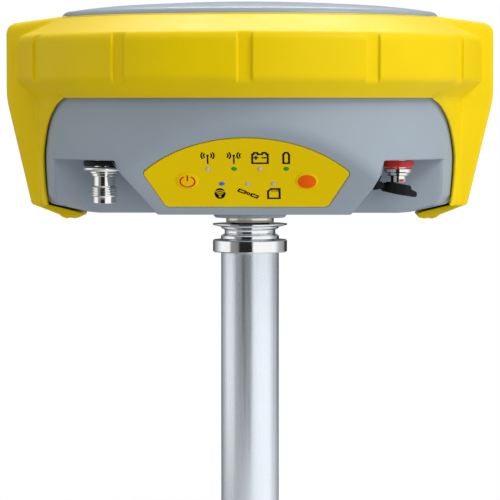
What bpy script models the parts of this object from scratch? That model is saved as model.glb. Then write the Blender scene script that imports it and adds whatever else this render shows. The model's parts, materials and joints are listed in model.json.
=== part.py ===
"""A satellite positioning receiver on the top section of its survey pole.

The shapes are written in millimetres and stored in metres. +Z is up and the keypad faces -Y.
The origin is the centre of the lower face of the pole section. The receiver is modelled in a
frame of its own, whose zero height is the lower face of its mounting boss.
"""

import math

import bmesh
import bpy
from mathutils import Matrix, Vector

MM = 0.001
MERGE = 0.001  # points closer than this are one
GAP = 0.3  # clearance between pieces that touch

# Driving dimensions, in millimetres.
BOSS_HEIGHT = 128.0  # of the receiver's lower face above the pole section's lower face
SHELL_SEGMENTS = 60
POLE_SEGMENTS = 28
SMALL_SEGMENTS = 20
SEAL_SEGMENTS = 36
TINY_SEGMENTS = 12

TUBE_RADIUS = 11.9
TUBE_BORE = 10.2
SPIGOT_RADIUS = 9.9
THREAD_RADIUS = 7.9  # 5/8 inch survey thread
THREAD_TOP = 18.0
SHOULDER = -2.5  # the pole's upper shoulder, just under the receiver's insert

EAR_X = 99.0  # half of the receiver's width
EAR_FLAT = 12.0  # half of the length of an ear's flat side
EAR_SLOPE = 0.6  # how fast an ear's front facet runs back to the shell
GROOVE_WIDTH = 5.5
GROOVE_FLOOR = 94.4
GROOVE_ANGLES = (-62.0, -31.0, 0.0, 31.0, 62.0)

BASE_HEIGHT = 3.0
HOUSING_RADIUS = 85.6
HOUSING_TOP = 54.0
HOUSING_WALL = 2.8
BOSS_RADIUS = 15.0
INSERT_RADIUS = 9.8
INSERT_TOP = 20.0
RECESS_CEILING = 24.5
RECESS_BACK = -33.0  # y of the back wall of both connector recesses
CAVITY_FLOOR = 28.0

CONSOLE_SLOPE = math.radians(42.0)
PANEL_ORIGIN = (0.0, -56.65, 6.2)
PANEL_HALF_BASE = 31.6
PANEL_TIP = (40.1, 17.8)
PANEL_ARC = 53.5
PANEL_ARC_CENTRE = -17.1
PANEL_CORNER = 2.5
PANEL_TOP = 0.1
PANEL_THICKNESS = 0.8
BUTTON_RADIUS = 4.5
BUTTON_STEM = 2.6
BUTTON_T = 14.1
POWER_X = -22.9
FUNCTION_X = 23.5
LAMP_RADIUS = 0.95
LAMP_HOLE = 1.25
LAMPS = (
    (-14.8, 20.5), (-4.7, 20.5), (5.4, 20.5), (15.5, 20.5), (-9.6, 12.5), (0.6, 12.5), (10.6, 12.5),
)

PORT_XY = (-56.5, -48.0)
SOCKET_XY = (59.5, -46.0)
PORT_HOLE = 4.6
SOCKET_HOLE = 3.8
PORT_FLANGE = 8.6
PORT_ROOM = 9.0  # radius kept clear round the port, up to the recess's ceiling
SOCKET_ROOM = 6.8
NUT_TOP = 30.8
CAP_BORE = 3.9
CAP_PIVOT = (52.6, -46.0, 14.5)
CAP_OPEN = math.radians(10.0)
STRAP_FOOT = (51.217, -46.0, 17.17)  # where the cap's strap is fastened to the recess's slanted side
STRAP_FACING = math.radians(119.64)  # from +Z towards +X, the way that the slanted side faces
STRAP_HALF_WIDTH = 3.7
STUD_RADIUS = 1.2
STUD_LENGTH = 4.0

BAY_HALF_WIDTH = 37.5
BAY_FRONT = 30.0
BAY_FLOOR = 6.5
BAY_ROOF = 29.5
BACK_FLAT = 72.0  # y of the flat that carries the battery door
DOOR_INNER = 72.3
DOOR_OUTER = 74.8
DOOR_HINGE = (74.3, 4.2)  # y and height of the hinge's axis
HINGE_RADIUS = 1.9
PIN_RADIUS = 0.8
PIN_HOLE = 1.1
PIN_HALF_LENGTH = 32.0
DOOR_HALF_WIDTH = 40.0
DOOR_TOP = 33.5
BARREL_HALF_LENGTH = 28.0
LUG_ENDS = (28.3, 34.0)  # x of a hinge lug's two sides
LATCH_HALF_WIDTH = 8.0
LATCH_HEIGHTS = (25.9, 32.1)
LATCH_TRAVEL = 6.0
BATTERY_HALF_WIDTH = 35.5
BATTERY_DEPTHS = (33.0, 71.0)
BATTERY_HEIGHTS = (7.5, 28.5)

BOARD_RADIUS = 66.0
BOARD_BOTTOM = 40.0
BOARD_TOP = 41.6
SHIELD_HEIGHT = 6.0
MODULE_HEIGHT = 8.0
MODULE_HALF_DEPTH = 15.0
READER_HEIGHT = 2.5
POST_RADIUS = 3.0
GROUND_PLANE_RADIUS = 70.0
GROUND_PLANE_BOTTOM = 66.0
GROUND_PLANE_TOP = 67.6
ELEMENT_RADIUS = 35.0
ELEMENT_HEIGHT = 8.0
BOARD_POSTS = ((-44.0, -36.0), (44.0, -36.0), (-50.0, 44.0), (50.0, 44.0))
ANTENNA_POSTS = ((-40.0, -40.0), (40.0, -40.0), (-40.0, 40.0), (40.0, 40.0))
SCREWS = ((-50.0, -20.0), (50.0, -20.0), (-50.0, 20.0), (50.0, 20.0))
SCREW_TOP = 18.0
SCREW_COLUMN = 4.2
SCREW_COLUMN_TOP = 22.0

MATERIALS = {
    "yellow_plastic": ((0.80, 0.56, 0.01), 0.45, 0.0),
    "yellow_panel": ((0.60, 0.45, 0.0), 0.4, 0.0),
    "grey_plastic": ((0.29, 0.35, 0.41), 0.5, 0.0),
    "radome_plastic": ((0.33, 0.40, 0.46), 0.45, 0.0),
    "polished_steel": ((0.75, 0.76, 0.78), 0.15, 1.0),
    "tube_aluminium": ((0.62, 0.63, 0.65), 0.3, 1.0),
    "insert_brass": ((0.60, 0.45, 0.20), 0.35, 1.0),
    "port_metal": ((0.70, 0.71, 0.72), 0.2, 1.0),
    "black_rubber": ((0.02, 0.02, 0.022), 0.7, 0.0),
    "black_plastic": ((0.03, 0.03, 0.035), 0.5, 0.0),
    "red_plastic": ((0.60, 0.03, 0.02), 0.35, 0.0),
    "orange_plastic": ((0.75, 0.10, 0.02), 0.35, 0.0),
    "lamp_plastic": ((0.70, 0.70, 0.72), 0.2, 0.0),
    "white_insulator": ((0.80, 0.80, 0.78), 0.4, 0.0),
    "circuit_board": ((0.02, 0.16, 0.06), 0.5, 0.0),
    "tinned_metal": ((0.65, 0.65, 0.64), 0.35, 1.0),
}


def clear_scene():
    for thing in list(bpy.data.objects):
        bpy.data.objects.remove(thing, do_unlink=True)


def make_materials():
    """One Principled material for each finish."""
    for name, (colour, roughness, metallic) in MATERIALS.items():
        material = bpy.data.materials.new(name)
        material.use_nodes = True
        shader = material.node_tree.nodes["Principled BSDF"]
        shader.inputs["Base Color"].default_value = (*colour, 1.0)
        shader.inputs["Roughness"].default_value = roughness
        shader.inputs["Metallic"].default_value = metallic


def finish_mesh(name, work):
    """Turns a bmesh in millimetres into an object, with its faces pointing out."""
    bmesh.ops.remove_doubles(work, verts=work.verts, dist=MERGE)
    bmesh.ops.recalc_face_normals(work, faces=work.faces)
    bmesh.ops.scale(work, vec=(MM, MM, MM), verts=work.verts)
    mesh = bpy.data.meshes.new(name)
    work.to_mesh(mesh)
    work.free()
    piece = bpy.data.objects.new(name, mesh)
    bpy.context.scene.collection.objects.link(piece)
    return piece


def lathe(name, profile, segments, centre=(0.0, 0.0)):
    """Turns (radius, height) points about a vertical axis. A profile off the axis is a closed ring."""
    work = bmesh.new()
    points = [work.verts.new((radius, 0.0, height)) for radius, height in profile]
    edges = [work.edges.new(pair) for pair in zip(points, points[1:])]
    if profile[0][0] > 0 or profile[-1][0] > 0:
        edges.append(work.edges.new((points[-1], points[0])))
    bmesh.ops.spin(
        work, geom=points + edges, cent=(0, 0, 0), axis=(0, 0, 1),
        angle=math.tau, steps=segments, use_merge=True,
    )
    bmesh.ops.translate(work, verts=work.verts, vec=(*centre, 0.0))
    return finish_mesh(name, work)


def ring(name, outer, inner, low, high, segments, centre=(0.0, 0.0)):
    return lathe(name, [(outer, low), (outer, high), (inner, high), (inner, low)], segments, centre)


def disc(name, radius, low, high, segments, centre=(0.0, 0.0)):
    return lathe(name, [(0.0, low), (radius, low), (radius, high), (0.0, high)], segments, centre)


def prism(name, outline, axis, low, high):
    """Extrudes an outline from low to high along X, Y or Z. Its points give the other two axes in order."""
    order = {"X": (2, 0, 1), "Y": (0, 2, 1), "Z": (0, 1, 2)}[axis]
    work = bmesh.new()
    corners = []
    for first, second in outline:
        values = (first, second, low)
        corners.append(work.verts.new([values[i] for i in order]))
    face = work.faces.new(corners)
    grown = bmesh.ops.extrude_face_region(work, geom=[face])["geom"]
    moved = [item for item in grown if isinstance(item, bmesh.types.BMVert)]
    shift = Vector((0.0, 0.0, 0.0))
    shift["XYZ".index(axis)] = high - low
    bmesh.ops.translate(work, verts=moved, vec=shift)
    return finish_mesh(name, work)


def box(name, x, y, z):
    outline = [(x[0], y[0]), (x[1], y[0]), (x[1], y[1]), (x[0], y[1])]
    return prism(name, outline, "Z", z[0], z[1])


def arc(centre, radius, start, end, steps):
    """Points on an arc, from one angle in degrees to the other."""
    angles = [math.radians(start + (end - start) * i / steps) for i in range(steps + 1)]
    return [(centre[0] + radius * math.cos(a), centre[1] + radius * math.sin(a)) for a in angles]


def round_corners(outline, radii, steps=4):
    """Replaces each corner that has a radius with an arc that is tangent to its two sides."""
    result = []
    for i, (point, radius) in enumerate(zip(outline, radii)):
        if not radius:
            result.append(point)
            continue
        here = Vector(point)
        back = (Vector(outline[i - 1]) - here).normalized()
        ahead = (Vector(outline[(i + 1) % len(outline)]) - here).normalized()
        half = back.angle(ahead) / 2
        centre = here + (back + ahead).normalized() * radius / math.sin(half)
        start = here + back * radius / math.tan(half) - centre
        end = here + ahead * radius / math.tan(half) - centre
        turn = start.angle_signed(end)
        for k in range(steps + 1):
            result.append(tuple(centre + Matrix.Rotation(-turn * k / steps, 2) @ start))
    return result


def transform(piece, matrix):
    """Moves a piece's mesh, not its origin. The matrix is in millimetres."""
    scaled = matrix.copy()
    scaled.translation = matrix.translation * MM
    piece.data.transform(scaled)
    return piece


def combine(target, operation, others):
    """Applies one exact Boolean after another to a piece, and removes the pieces that it used."""
    for other in others:
        modifier = target.modifiers.new(other.name, "BOOLEAN")
        modifier.solver = "EXACT"
        modifier.operation = operation
        modifier.object = other
    graph = bpy.context.evaluated_depsgraph_get()
    mesh = bpy.data.meshes.new_from_object(target.evaluated_get(graph))
    target.modifiers.clear()
    target.data = mesh
    for other in others:
        bpy.data.objects.remove(other, do_unlink=True)
    return target


def cut(target, *cutters):
    return combine(target, "DIFFERENCE", cutters)


def join(target, *pieces):
    return combine(target, "UNION", pieces)


def keep_inside(target, *pieces):
    return combine(target, "INTERSECT", pieces)


def finish(piece, parent, material, origin=(0.0, 0.0, 0.0), smooth=True):
    """Gives a piece its parent, its finish, and an origin where it turns or slides."""
    piece.data.name = piece.name
    piece.data.materials.clear()
    piece.data.materials.append(bpy.data.materials[material])
    piece.data.transform(Matrix.Translation(-Vector(origin) * MM))
    piece.location = Vector(origin) * MM
    piece.parent = parent
    if smooth:
        piece.data.shade_smooth()
        piece.data.set_sharp_from_angle(angle=math.radians(35.0))
    return piece


def frame(name, location, rotation, parent):
    empty = bpy.data.objects.new(name, None)
    empty.location = Vector(location) * MM
    empty.rotation_euler = rotation
    empty.parent = parent
    bpy.context.scene.collection.objects.link(empty)
    return empty


def panel_matrix():
    """The keypad panel's own frame: X across, Y up the slope and Z out of the panel."""
    turn = Matrix.Rotation(CONSOLE_SLOPE + math.pi / 2, 4, "X")
    return Matrix.Translation(PANEL_ORIGIN) @ turn


def panel_outline(grow):
    """The panel's outline, grown all round by a clearance: a straight base, two sides and a top arc."""
    side = (Vector(PANEL_TIP) - Vector((PANEL_HALF_BASE, 0.0))).normalized()
    outward = Vector((side.y, -side.x))
    foot = Vector((PANEL_HALF_BASE, 0.0)) + outward * grow
    base = foot + side * (-grow - foot.y) / side.y
    radius = PANEL_ARC + grow
    to_foot = foot - Vector((0.0, PANEL_ARC_CENTRE))
    along = to_foot.dot(side)
    tip = foot + side * (math.sqrt(along**2 + radius**2 - to_foot.length_squared) - along)
    start = math.degrees(math.atan2(tip.y - PANEL_ARC_CENTRE, tip.x))
    top = arc((0.0, PANEL_ARC_CENTRE), radius, start, 180.0 - start, 14)
    corner = PANEL_CORNER + grow
    outline = [(-base.x, base.y), (base.x, base.y)] + top
    return round_corners(outline, [corner, corner, corner] + [0.0] * (len(top) - 2) + [corner])


# ---- The pole ----


def build_pole():
    """The pole section: a tube with a threaded foot below, and a collar and a turned stub above."""
    foot = lathe(
        "pole_foot",
        [(0.0, 0.0), (13.5, 0.0), (13.5, 4.0), (SPIGOT_RADIUS, 4.0), (SPIGOT_RADIUS, 26.0), (0.0, 26.0)],
        POLE_SEGMENTS,
    )
    cut(foot, disc("foot_bore", THREAD_RADIUS, -1.0, 22.0, POLE_SEGMENTS))
    finish(foot, None, "polished_steel")

    tube_top = BOSS_HEIGHT - 9.4
    tube = ring("pole_tube", TUBE_RADIUS, TUBE_BORE, 4.0 + GAP, tube_top, POLE_SEGMENTS)
    finish(tube, None, "tube_aluminium")

    top = frame("pole_top", (0.0, 0.0, BOSS_HEIGHT), (0.0, 0.0, 0.0), None)
    collar = lathe(
        "pole_collar",
        [(12.2, -14.2), (14.6, -14.2), (15.25, -13.6), (15.25, -9.1), (12.2, -9.1)],
        POLE_SEGMENTS,
    )
    finish(collar, top, "polished_steel")

    stub = lathe(
        "pole_stub",
        [(0.0, -30.0), (SPIGOT_RADIUS, -30.0), (SPIGOT_RADIUS, -8.8), (11.95, -8.8), (11.95, -7.4),
         (10.4, -6.7), (10.4, -5.1), (11.8, -4.4), (11.8, -3.9), (15.3, -3.0), (15.3, SHOULDER),
         (THREAD_RADIUS, SHOULDER), (THREAD_RADIUS, THREAD_TOP - 1.0), (6.9, THREAD_TOP),
         (0.0, THREAD_TOP)],
        POLE_SEGMENTS,
    )
    finish(stub, top, "polished_steel")


# ---- The outer shells ----


def bumper_ring():
    """The grooved band and the skirt below it, all round and thicker inside than they end up."""
    profile = (
        [(77.4, 81.5), (90.9, 75.3)]
        + [(93.9, 73.4), (95.1, 71.9), (95.5, 70.2), (95.5, 57.2), (95.1, 55.7), (93.9, 54.3)]
        + [(88.2, 48.8), (86.9, 5.7), (83.0, 5.7), (83.0, 50.0), (70.0, 76.0), (70.0, 81.5)]
    )
    return lathe("bumper_shell", profile, SHELL_SEGMENTS)


def ear(side):
    """One of the two corner guards: a flat side with a front and a back facet."""
    profile = [
        (78.0, 81.4), (96.0, 79.4), (98.0, 78.2), (EAR_X, 75.7), (EAR_X, 48.9), (88.2, 5.7), (78.0, 5.7),
    ]
    inner_x = 70.0
    outer_x = EAR_X + 1.0
    inner_y = EAR_FLAT + (EAR_X - inner_x) * EAR_SLOPE
    outer_y = EAR_FLAT + (EAR_X - outer_x) * EAR_SLOPE
    guard = prism("ear", [(side * x, z) for x, z in profile], "Y", -40.0, 40.0)
    plan = [(inner_x, -inner_y), (outer_x, -outer_y), (outer_x, outer_y), (inner_x, inner_y)]
    return keep_inside(guard, prism("ear_plan", [(side * x, y) for x, y in plan], "Z", 0.0, 90.0))


def foot_tab(side):
    """The tongue at a leg's lower end, which wraps under the housing and stands on a small bump."""
    profile = [
        (88.2, 5.7), (76.0, 1.6), (75.0, 0.6), (73.0, 0.0), (71.0, 0.3), (69.0, 0.05), (66.5, 1.5),
        (66.5, 6.0), (84.0, 12.0), (87.0, 12.0),
    ]
    return prism("foot_tab", [(side * x, z) for x, z in profile], "Y", -16.0, 16.0)


def arch(low, high):
    """The opening between the legs, in front or behind, from below the shell up to the band."""
    half = [(79.5, -5.0), (79.9, 8.2), (80.5, 11.4), (81.2, 24.0), (81.2, 30.0), (79.9, 38.5)]
    half += [(78.3, 43.2), (76.2, 46.4), (72.7, 48.8)]
    outline = half + [(-x, z) for x, z in reversed(half)]
    return prism("arch", outline, "Y", low, high)


def groove(angle):
    """A cutter for one upright channel in the band. Angle 0 is the front."""
    half = GROOVE_WIDTH / 2
    cutter = box("groove", (-half, half), (-110.0, -GROOVE_FLOOR), (48.9, 80.0))
    return transform(cutter, Matrix.Rotation(math.radians(angle), 4, "Z"))


def build_bumper(parent):
    shell = join(bumper_ring(), ear(1), ear(-1), foot_tab(1), foot_tab(-1))
    inside = lathe(
        "inside",
        [(0.0, 2.6), (68.05, 2.6), (82.2, 5.8), (84.9, 9.3), (86.1, 48.8), (86.9, 52.0),
         (90.5, 56.3), (82.5, 56.3), (82.5, 58.8), (92.6, 58.8), (92.6, 70.0), (89.6, 72.6),
         (75.5, 77.8), (72.0, 77.8), (72.0, 80.0), (77.4, 80.0), (77.4, 95.0), (0.0, 95.0)],
        SHELL_SEGMENTS,
    )
    back_angles = [angle + 180.0 for angle in GROOVE_ANGLES]
    grooves = [groove(angle) for angle in [*GROOVE_ANGLES, *back_angles]]
    cut(shell, inside, arch(-120.0, -22.0), arch(22.0, 120.0), *grooves)
    finish(shell, parent, "yellow_plastic")


def build_radome(parent):
    radome = lathe(
        "radome",
        [(0.0, 88.0), (24.4, 87.6), (48.9, 86.4), (61.0, 85.5), (73.3, 83.9), (76.0, 83.0),
         (77.0, 81.6), (77.0, 80.3), (74.7, 80.3), (73.5, 82.0), (60.0, 83.6), (0.0, 86.0)],
        SHELL_SEGMENTS,
    )
    finish(radome, parent, "radome_plastic")
    seal = ring("radome_seal", 73.6, 72.4, 80.3, 81.3, SEAL_SEGMENTS)
    finish(seal, parent, "black_rubber")
    seal = ring("housing_seal", 85.4, 83.1, HOUSING_TOP + GAP, 56.0, SEAL_SEGMENTS)
    finish(seal, parent, "black_rubber")


# ---- The lower housing ----


def housing_blank():
    """The housing's outer form: a bowl with a boss, a sloped console, two recesses and a back flat."""
    bowl = lathe(
        "lower_housing",
        [(0.0, 0.0), (BOSS_RADIUS, 0.0), (BOSS_RADIUS, BASE_HEIGHT), (68.0, BASE_HEIGHT), (82.0, 6.2),
         (84.4, 9.5), (85.6, 48.5), (HOUSING_RADIUS, HOUSING_TOP), (0.0, HOUSING_TOP)],
        SHELL_SEGMENTS,
    )
    console = prism(
        "console", [(-105.1, 60.0), (-42.06, -10.0), (-130.0, -10.0), (-130.0, 60.0)], "X", -95.0, 95.0
    )
    left = [(-51.4, RECESS_CEILING), (-49.7, 20.4), (-28.6, -5.0), (-100.0, -5.0), (-100.0, RECESS_CEILING)]
    right = [(53.4, RECESS_CEILING), (52.6, 19.6), (49.3, 13.8), (34.5, -5.0), (100.0, -5.0),
             (100.0, RECESS_CEILING)]
    recesses = [prism("recess", outline, "Y", -120.0, RECESS_BACK) for outline in (left, right)]
    recesses.append(disc("port_room", PORT_ROOM, 0.0, RECESS_CEILING, SMALL_SEGMENTS, PORT_XY))
    recesses.append(disc("socket_room", SOCKET_ROOM, 0.0, RECESS_CEILING, SMALL_SEGMENTS, SOCKET_XY))
    back = prism(
        "back_flat",
        [(86.9, 48.9), (BACK_FLAT, 38.0), (BACK_FLAT, -5.0), (100.0, -5.0), (100.0, 48.9)],
        "X", -95.0, 95.0,
    )
    return cut(bowl, console, *recesses, back)


def hinge_lug(side):
    """A lug for the battery door's pin. It runs back under the housing's rim."""
    y, z = DOOR_HINGE
    outline = [(64.0, z - HINGE_RADIUS)] + arc((y, z), HINGE_RADIUS, -90.0, 90.0, 8)
    outline += [(64.0, z + HINGE_RADIUS)]
    ends = sorted(side * end for end in LUG_ENDS)
    return prism("hinge_lug", outline, "X", *ends)


def hollow_out(housing):
    """Cuts the chambers, which all open upwards or to the back."""
    upper = disc("upper_chamber", HOUSING_RADIUS - HOUSING_WALL, CAVITY_FLOOR, 60.0, SHELL_SEGMENTS)
    front_wall = prism(
        "front_wall", [(-65.7, 20.0), (-83.7, 40.0), (-100.0, 58.0), (-100.0, 20.0)], "X", -95.0, 95.0
    )
    back_wall = prism(
        "back_wall",
        [(69.5, 20.0), (69.5, 39.3), (84.0, 49.9), (100.0, 49.9), (100.0, 20.0)],
        "X", -95.0, 95.0,
    )
    bay_roof = box("bay_roof", (-40.0, 40.0), (28.0, 75.0), (27.0, 31.8))
    cut(upper, front_wall, back_wall, bay_roof)
    lower = prism(
        "lower_chamber", [(-53.1, 6.0), (-73.7, 28.9), (26.0, 28.9), (26.0, 6.0)], "X", -34.0, 34.0
    )
    sides = [
        box("side_chamber", (40.0, 74.0), (-30.3, 30.3), (8.5, 28.5)),
        box("side_chamber", (-74.0, -40.0), (-30.3, 30.3), (8.5, 28.5)),
    ]
    bay = box("battery_bay", (-BAY_HALF_WIDTH, BAY_HALF_WIDTH), (BAY_FRONT, 90.0), (BAY_FLOOR, BAY_ROOF))
    cut(housing, upper, lower, *sides, bay)


def drill_housing(housing):
    """Adds the solid columns for the insert and the screws, then cuts every hole."""
    columns = [disc("boss_column", BOSS_RADIUS, 1.0, 24.0, POLE_SEGMENTS)]
    columns += [
        disc("screw_column", SCREW_COLUMN, 8.0, SCREW_COLUMN_TOP, TINY_SEGMENTS, spot) for spot in SCREWS
    ]
    join(housing, *columns, hinge_lug(1), hinge_lug(-1))

    cutters = [disc("insert_pocket", INSERT_RADIUS + GAP, -1.0, INSERT_TOP + 0.4, POLE_SEGMENTS)]
    for spot in SCREWS:
        cutters.append(disc("screw_hole", 1.7, 0.0, SCREW_TOP + 0.5, TINY_SEGMENTS, spot))
        cutters.append(disc("head_hole", 2.9, 0.0, 5.2, TINY_SEGMENTS, spot))
    cutters.append(disc("port_hole", PORT_HOLE, 20.0, 30.0, SMALL_SEGMENTS, PORT_XY))
    cutters.append(disc("socket_hole", SOCKET_HOLE, 20.0, 30.0, SMALL_SEGMENTS, SOCKET_XY))
    stud_hole = disc("stud_hole", STUD_RADIUS + GAP, -STUD_LENGTH - GAP, 1.0, TINY_SEGMENTS)
    cutters.append(transform(stud_hole, strap_matrix()))
    pin_hole = disc("pin_hole", PIN_HOLE, BARREL_HALF_LENGTH, PIN_HALF_LENGTH + 0.5, TINY_SEGMENTS)
    y, z = DOOR_HINGE
    for side in (1, -1):
        turn = Matrix.Translation((0.0, y, z)) @ Matrix.Rotation(side * math.pi / 2, 4, "Y")
        copy = bpy.data.objects.new("pin_hole", pin_hole.data.copy())
        bpy.context.scene.collection.objects.link(copy)
        cutters.append(transform(copy, turn))
    bpy.data.objects.remove(pin_hole, do_unlink=True)

    console_cutters = [prism("panel_pocket", panel_outline(GAP), "Z", -1.0, 4.0)]
    for x in (POWER_X, FUNCTION_X):
        console_cutters.append(disc("button_well", 5.1, -1.6, 1.0, SMALL_SEGMENTS, (x, BUTTON_T)))
        stem_hole = BUTTON_STEM + 0.6
        console_cutters.append(disc("stem_hole", stem_hole, -6.0, 1.0, SMALL_SEGMENTS, (x, BUTTON_T)))
    for spot in LAMPS:
        console_cutters.append(disc("lamp_hole", LAMP_HOLE, -6.0, 1.0, TINY_SEGMENTS, spot))
    cutters += [transform(cutter, panel_matrix()) for cutter in console_cutters]
    cut(housing, *cutters)


def build_housing(parent):
    housing = housing_blank()
    hollow_out(housing)
    drill_housing(housing)
    finish(housing, parent, "grey_plastic")

    bore = THREAD_RADIUS + GAP
    insert = ring("thread_insert", INSERT_RADIUS, bore, SHOULDER + GAP, INSERT_TOP, POLE_SEGMENTS)
    finish(insert, parent, "insert_brass")

    for number, spot in enumerate(SCREWS, 1):
        profile = [(0.0, 3.4), (2.6, 3.4), (2.6, 4.9), (1.4, 4.9), (1.4, SCREW_TOP), (0.0, SCREW_TOP)]
        screw = lathe(f"housing_screw_{number}", profile, TINY_SEGMENTS, spot)
        finish(screw, parent, "polished_steel")


# ---- The keypad ----


def build_button(name, x, parent, material):
    profile = [
        (0.0, -3.7), (BUTTON_STEM, -3.7), (BUTTON_STEM, -0.6), (BUTTON_RADIUS, -0.6),
        (BUTTON_RADIUS, 0.4), (4.1, 0.7), (0.0, 0.7),
    ]
    button = lathe(name, profile, SMALL_SEGMENTS, (x, BUTTON_T))
    finish(button, parent, material, origin=(x, BUTTON_T, 0.0))


def build_keypad(parent):
    """The panel, its lamps and buttons and the board behind them, all in the panel's own frame."""
    place = frame("panel_frame", PANEL_ORIGIN, (CONSOLE_SLOPE + math.pi / 2, 0.0, 0.0), parent)
    low = PANEL_TOP - PANEL_THICKNESS
    panel = prism("keypad_panel", panel_outline(0.0), "Z", low, PANEL_TOP)
    holes = [
        disc("button_hole", BUTTON_RADIUS + GAP, -2.0, 2.0, SMALL_SEGMENTS, (x, BUTTON_T))
        for x in (POWER_X, FUNCTION_X)
    ]
    holes += [disc("lamp_hole", LAMP_HOLE, -2.0, 2.0, TINY_SEGMENTS, spot) for spot in LAMPS]
    finish(cut(panel, *holes), place, "yellow_panel")

    for number, spot in enumerate(LAMPS, 1):
        lens = disc(f"lamp_lens_{number}", LAMP_RADIUS, -3.9, 0.12, TINY_SEGMENTS, spot)
        finish(lens, place, "lamp_plastic")

    build_button("power_button", POWER_X, place, "yellow_panel")
    build_button("function_button", FUNCTION_X, place, "orange_plastic")

    board = box("keypad_board", (-31.0, 31.0), (3.0, 30.0), (-5.5, -4.3))
    finish(board, place, "circuit_board", smooth=False)


# ---- The connectors ----


def hexagon_nut(name, centre, radius, bore, low, high):
    outline = [(centre[0] + x, centre[1] + y) for x, y in arc((0.0, 0.0), radius, 0.0, 300.0, 5)]
    nut = prism(name, outline, "Z", low, high)
    return cut(nut, disc("nut_bore", bore, low - 1.0, high + 1.0, SMALL_SEGMENTS, centre))


def build_antenna_port(parent):
    """The threaded antenna port that hangs from the ceiling of the left recess."""
    washer = ring("port_washer", 8.3, PORT_HOLE, 22.1, RECESS_CEILING - GAP, SMALL_SEGMENTS, PORT_XY)
    finish(washer, parent, "black_rubber")
    body = lathe(
        "port_body",
        [(0.0, 32.0), (4.3, 32.0), (4.3, 21.8), (7.9, 21.8), (PORT_FLANGE, 21.3), (7.6, 20.5),
         (PORT_FLANGE, 19.7), (7.9, 19.2), (5.1, 19.2), (5.1, 18.0), (4.35, 18.0), (4.35, 14.1), (5.3, 13.6),
         (5.3, 9.9), (4.7, 9.5), (4.7, 7.3), (3.4, 7.3), (3.4, 12.5), (0.0, 12.5)],
        SMALL_SEGMENTS, PORT_XY,
    )
    finish(body, parent, "port_metal")
    insulator = ring("port_insulator", 2.2, 0.9, 8.6, 12.2, TINY_SEGMENTS, PORT_XY)
    finish(insulator, parent, "white_insulator")
    pin = disc("port_pin", 0.6, 8.0, 12.2, TINY_SEGMENTS, PORT_XY)
    finish(pin, parent, "insert_brass")
    nut = hexagon_nut("port_nut", PORT_XY, 6.6, PORT_HOLE, CAVITY_FLOOR + GAP, NUT_TOP)
    finish(nut, parent, "port_metal")


def build_round_socket(parent):
    """The round socket in the right recess, with its dust cap, which hangs 10 degrees open on a strap."""
    top = RECESS_CEILING - GAP
    red = lathe(
        "socket_ring",
        [(SOCKET_HOLE, top), (6.25, top), (6.25, 22.1), (5.6, 21.5), (SOCKET_HOLE, 21.5)],
        SMALL_SEGMENTS, SOCKET_XY,
    )
    finish(red, parent, "red_plastic")
    body = lathe(
        "socket_body",
        [(0.0, 32.0), (3.5, 32.0), (3.5, 21.2), (4.9, 21.2), (5.15, 20.9), (5.15, 19.6), (4.9, 19.3),
         (3.95, 19.3), (3.95, 18.2), (2.85, 18.2), (2.85, 15.6), (2.0, 15.6), (2.0, 18.6), (0.0, 18.6)],
        SMALL_SEGMENTS, SOCKET_XY,
    )
    finish(body, parent, "port_metal")
    insert = disc("socket_insert", 1.7, 16.1, 18.3, TINY_SEGMENTS, SOCKET_XY)
    finish(insert, parent, "black_plastic")
    nut = hexagon_nut("socket_nut", SOCKET_XY, 5.8, SOCKET_HOLE, CAVITY_FLOOR + GAP, NUT_TOP)
    finish(nut, parent, "port_metal")

    finish(build_strap(), parent, "black_rubber")
    finish(build_cap(), parent, "black_rubber", origin=CAP_PIVOT)


def strap_matrix():
    """The frame of the strap's foot: Z out of the slanted side of the recess, Y as in the receiver."""
    return Matrix.Translation(STRAP_FOOT) @ Matrix.Rotation(STRAP_FACING, 4, "Y")


def build_strap():
    """A rubber plate held by a stud in the recess's side. Its two ears reach beside the cap's tail."""
    half = STRAP_HALF_WIDTH
    strap = box("cap_strap", (-1.6, 4.6), (-half, half), (GAP, 1.1))
    join(strap, disc("stud", STUD_RADIUS, -STUD_LENGTH, 0.7, TINY_SEGMENTS))
    transform(strap, strap_matrix())
    pivot_x, y, pivot_z = CAP_PIVOT
    for side in (-1, 1):
        ends = sorted((y + side * 2.6, y + side * half))
        outline = [(50.6, 15.0), (49.4, 12.9), (50.3, 12.6)]
        outline += arc((pivot_x, pivot_z), 1.3, -70.0, 80.0, 6) + [(51.5, 16.6)]
        join(strap, prism("strap_ear", outline, "Y", *ends))
    return strap


def build_cap():
    """The dust cap, made closed over the socket and then swung open a little about its tail."""
    y = SOCKET_XY[1]
    side = [(52.1, 13.4), (53.6, 12.3), (60.1, 12.1), (66.7, 12.2), (67.4, 12.9), (67.0, 14.3), (64.8, 14.9),
            (64.3, 16.3), (55.0, 16.3), (52.2, 15.0)]
    cap = prism("dust_cap", side, "Y", y - 7.0, y + 7.0)
    half = [(51.1, 2.2), (54.3, 2.3), (56.5, 5.0), (58.6, 5.7), (62.6, 5.7), (65.6, 4.2), (67.7, 1.5)]
    plan = [(a, y - b) for a, b in half] + [(a, y + b) for a, b in reversed(half)]
    keep_inside(cap, prism("cap_plan", plan, "Z", 10.0, 20.0))
    cut(cap, disc("cap_cup", CAP_BORE, 14.6, 17.0, SMALL_SEGMENTS, SOCKET_XY))
    pivot = Matrix.Translation(CAP_PIVOT)
    return transform(cap, pivot @ Matrix.Rotation(CAP_OPEN, 4, "Y") @ pivot.inverted())


# ---- The battery bay ----


def along_x(name, radius, low, high):
    """A round bar along X, centred on the door hinge's axis."""
    y, z = DOOR_HINGE
    bar = disc(name, radius, low, high, TINY_SEGMENTS)
    return transform(bar, Matrix.Translation((0.0, y, z)) @ Matrix.Rotation(math.pi / 2, 4, "Y"))


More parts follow.
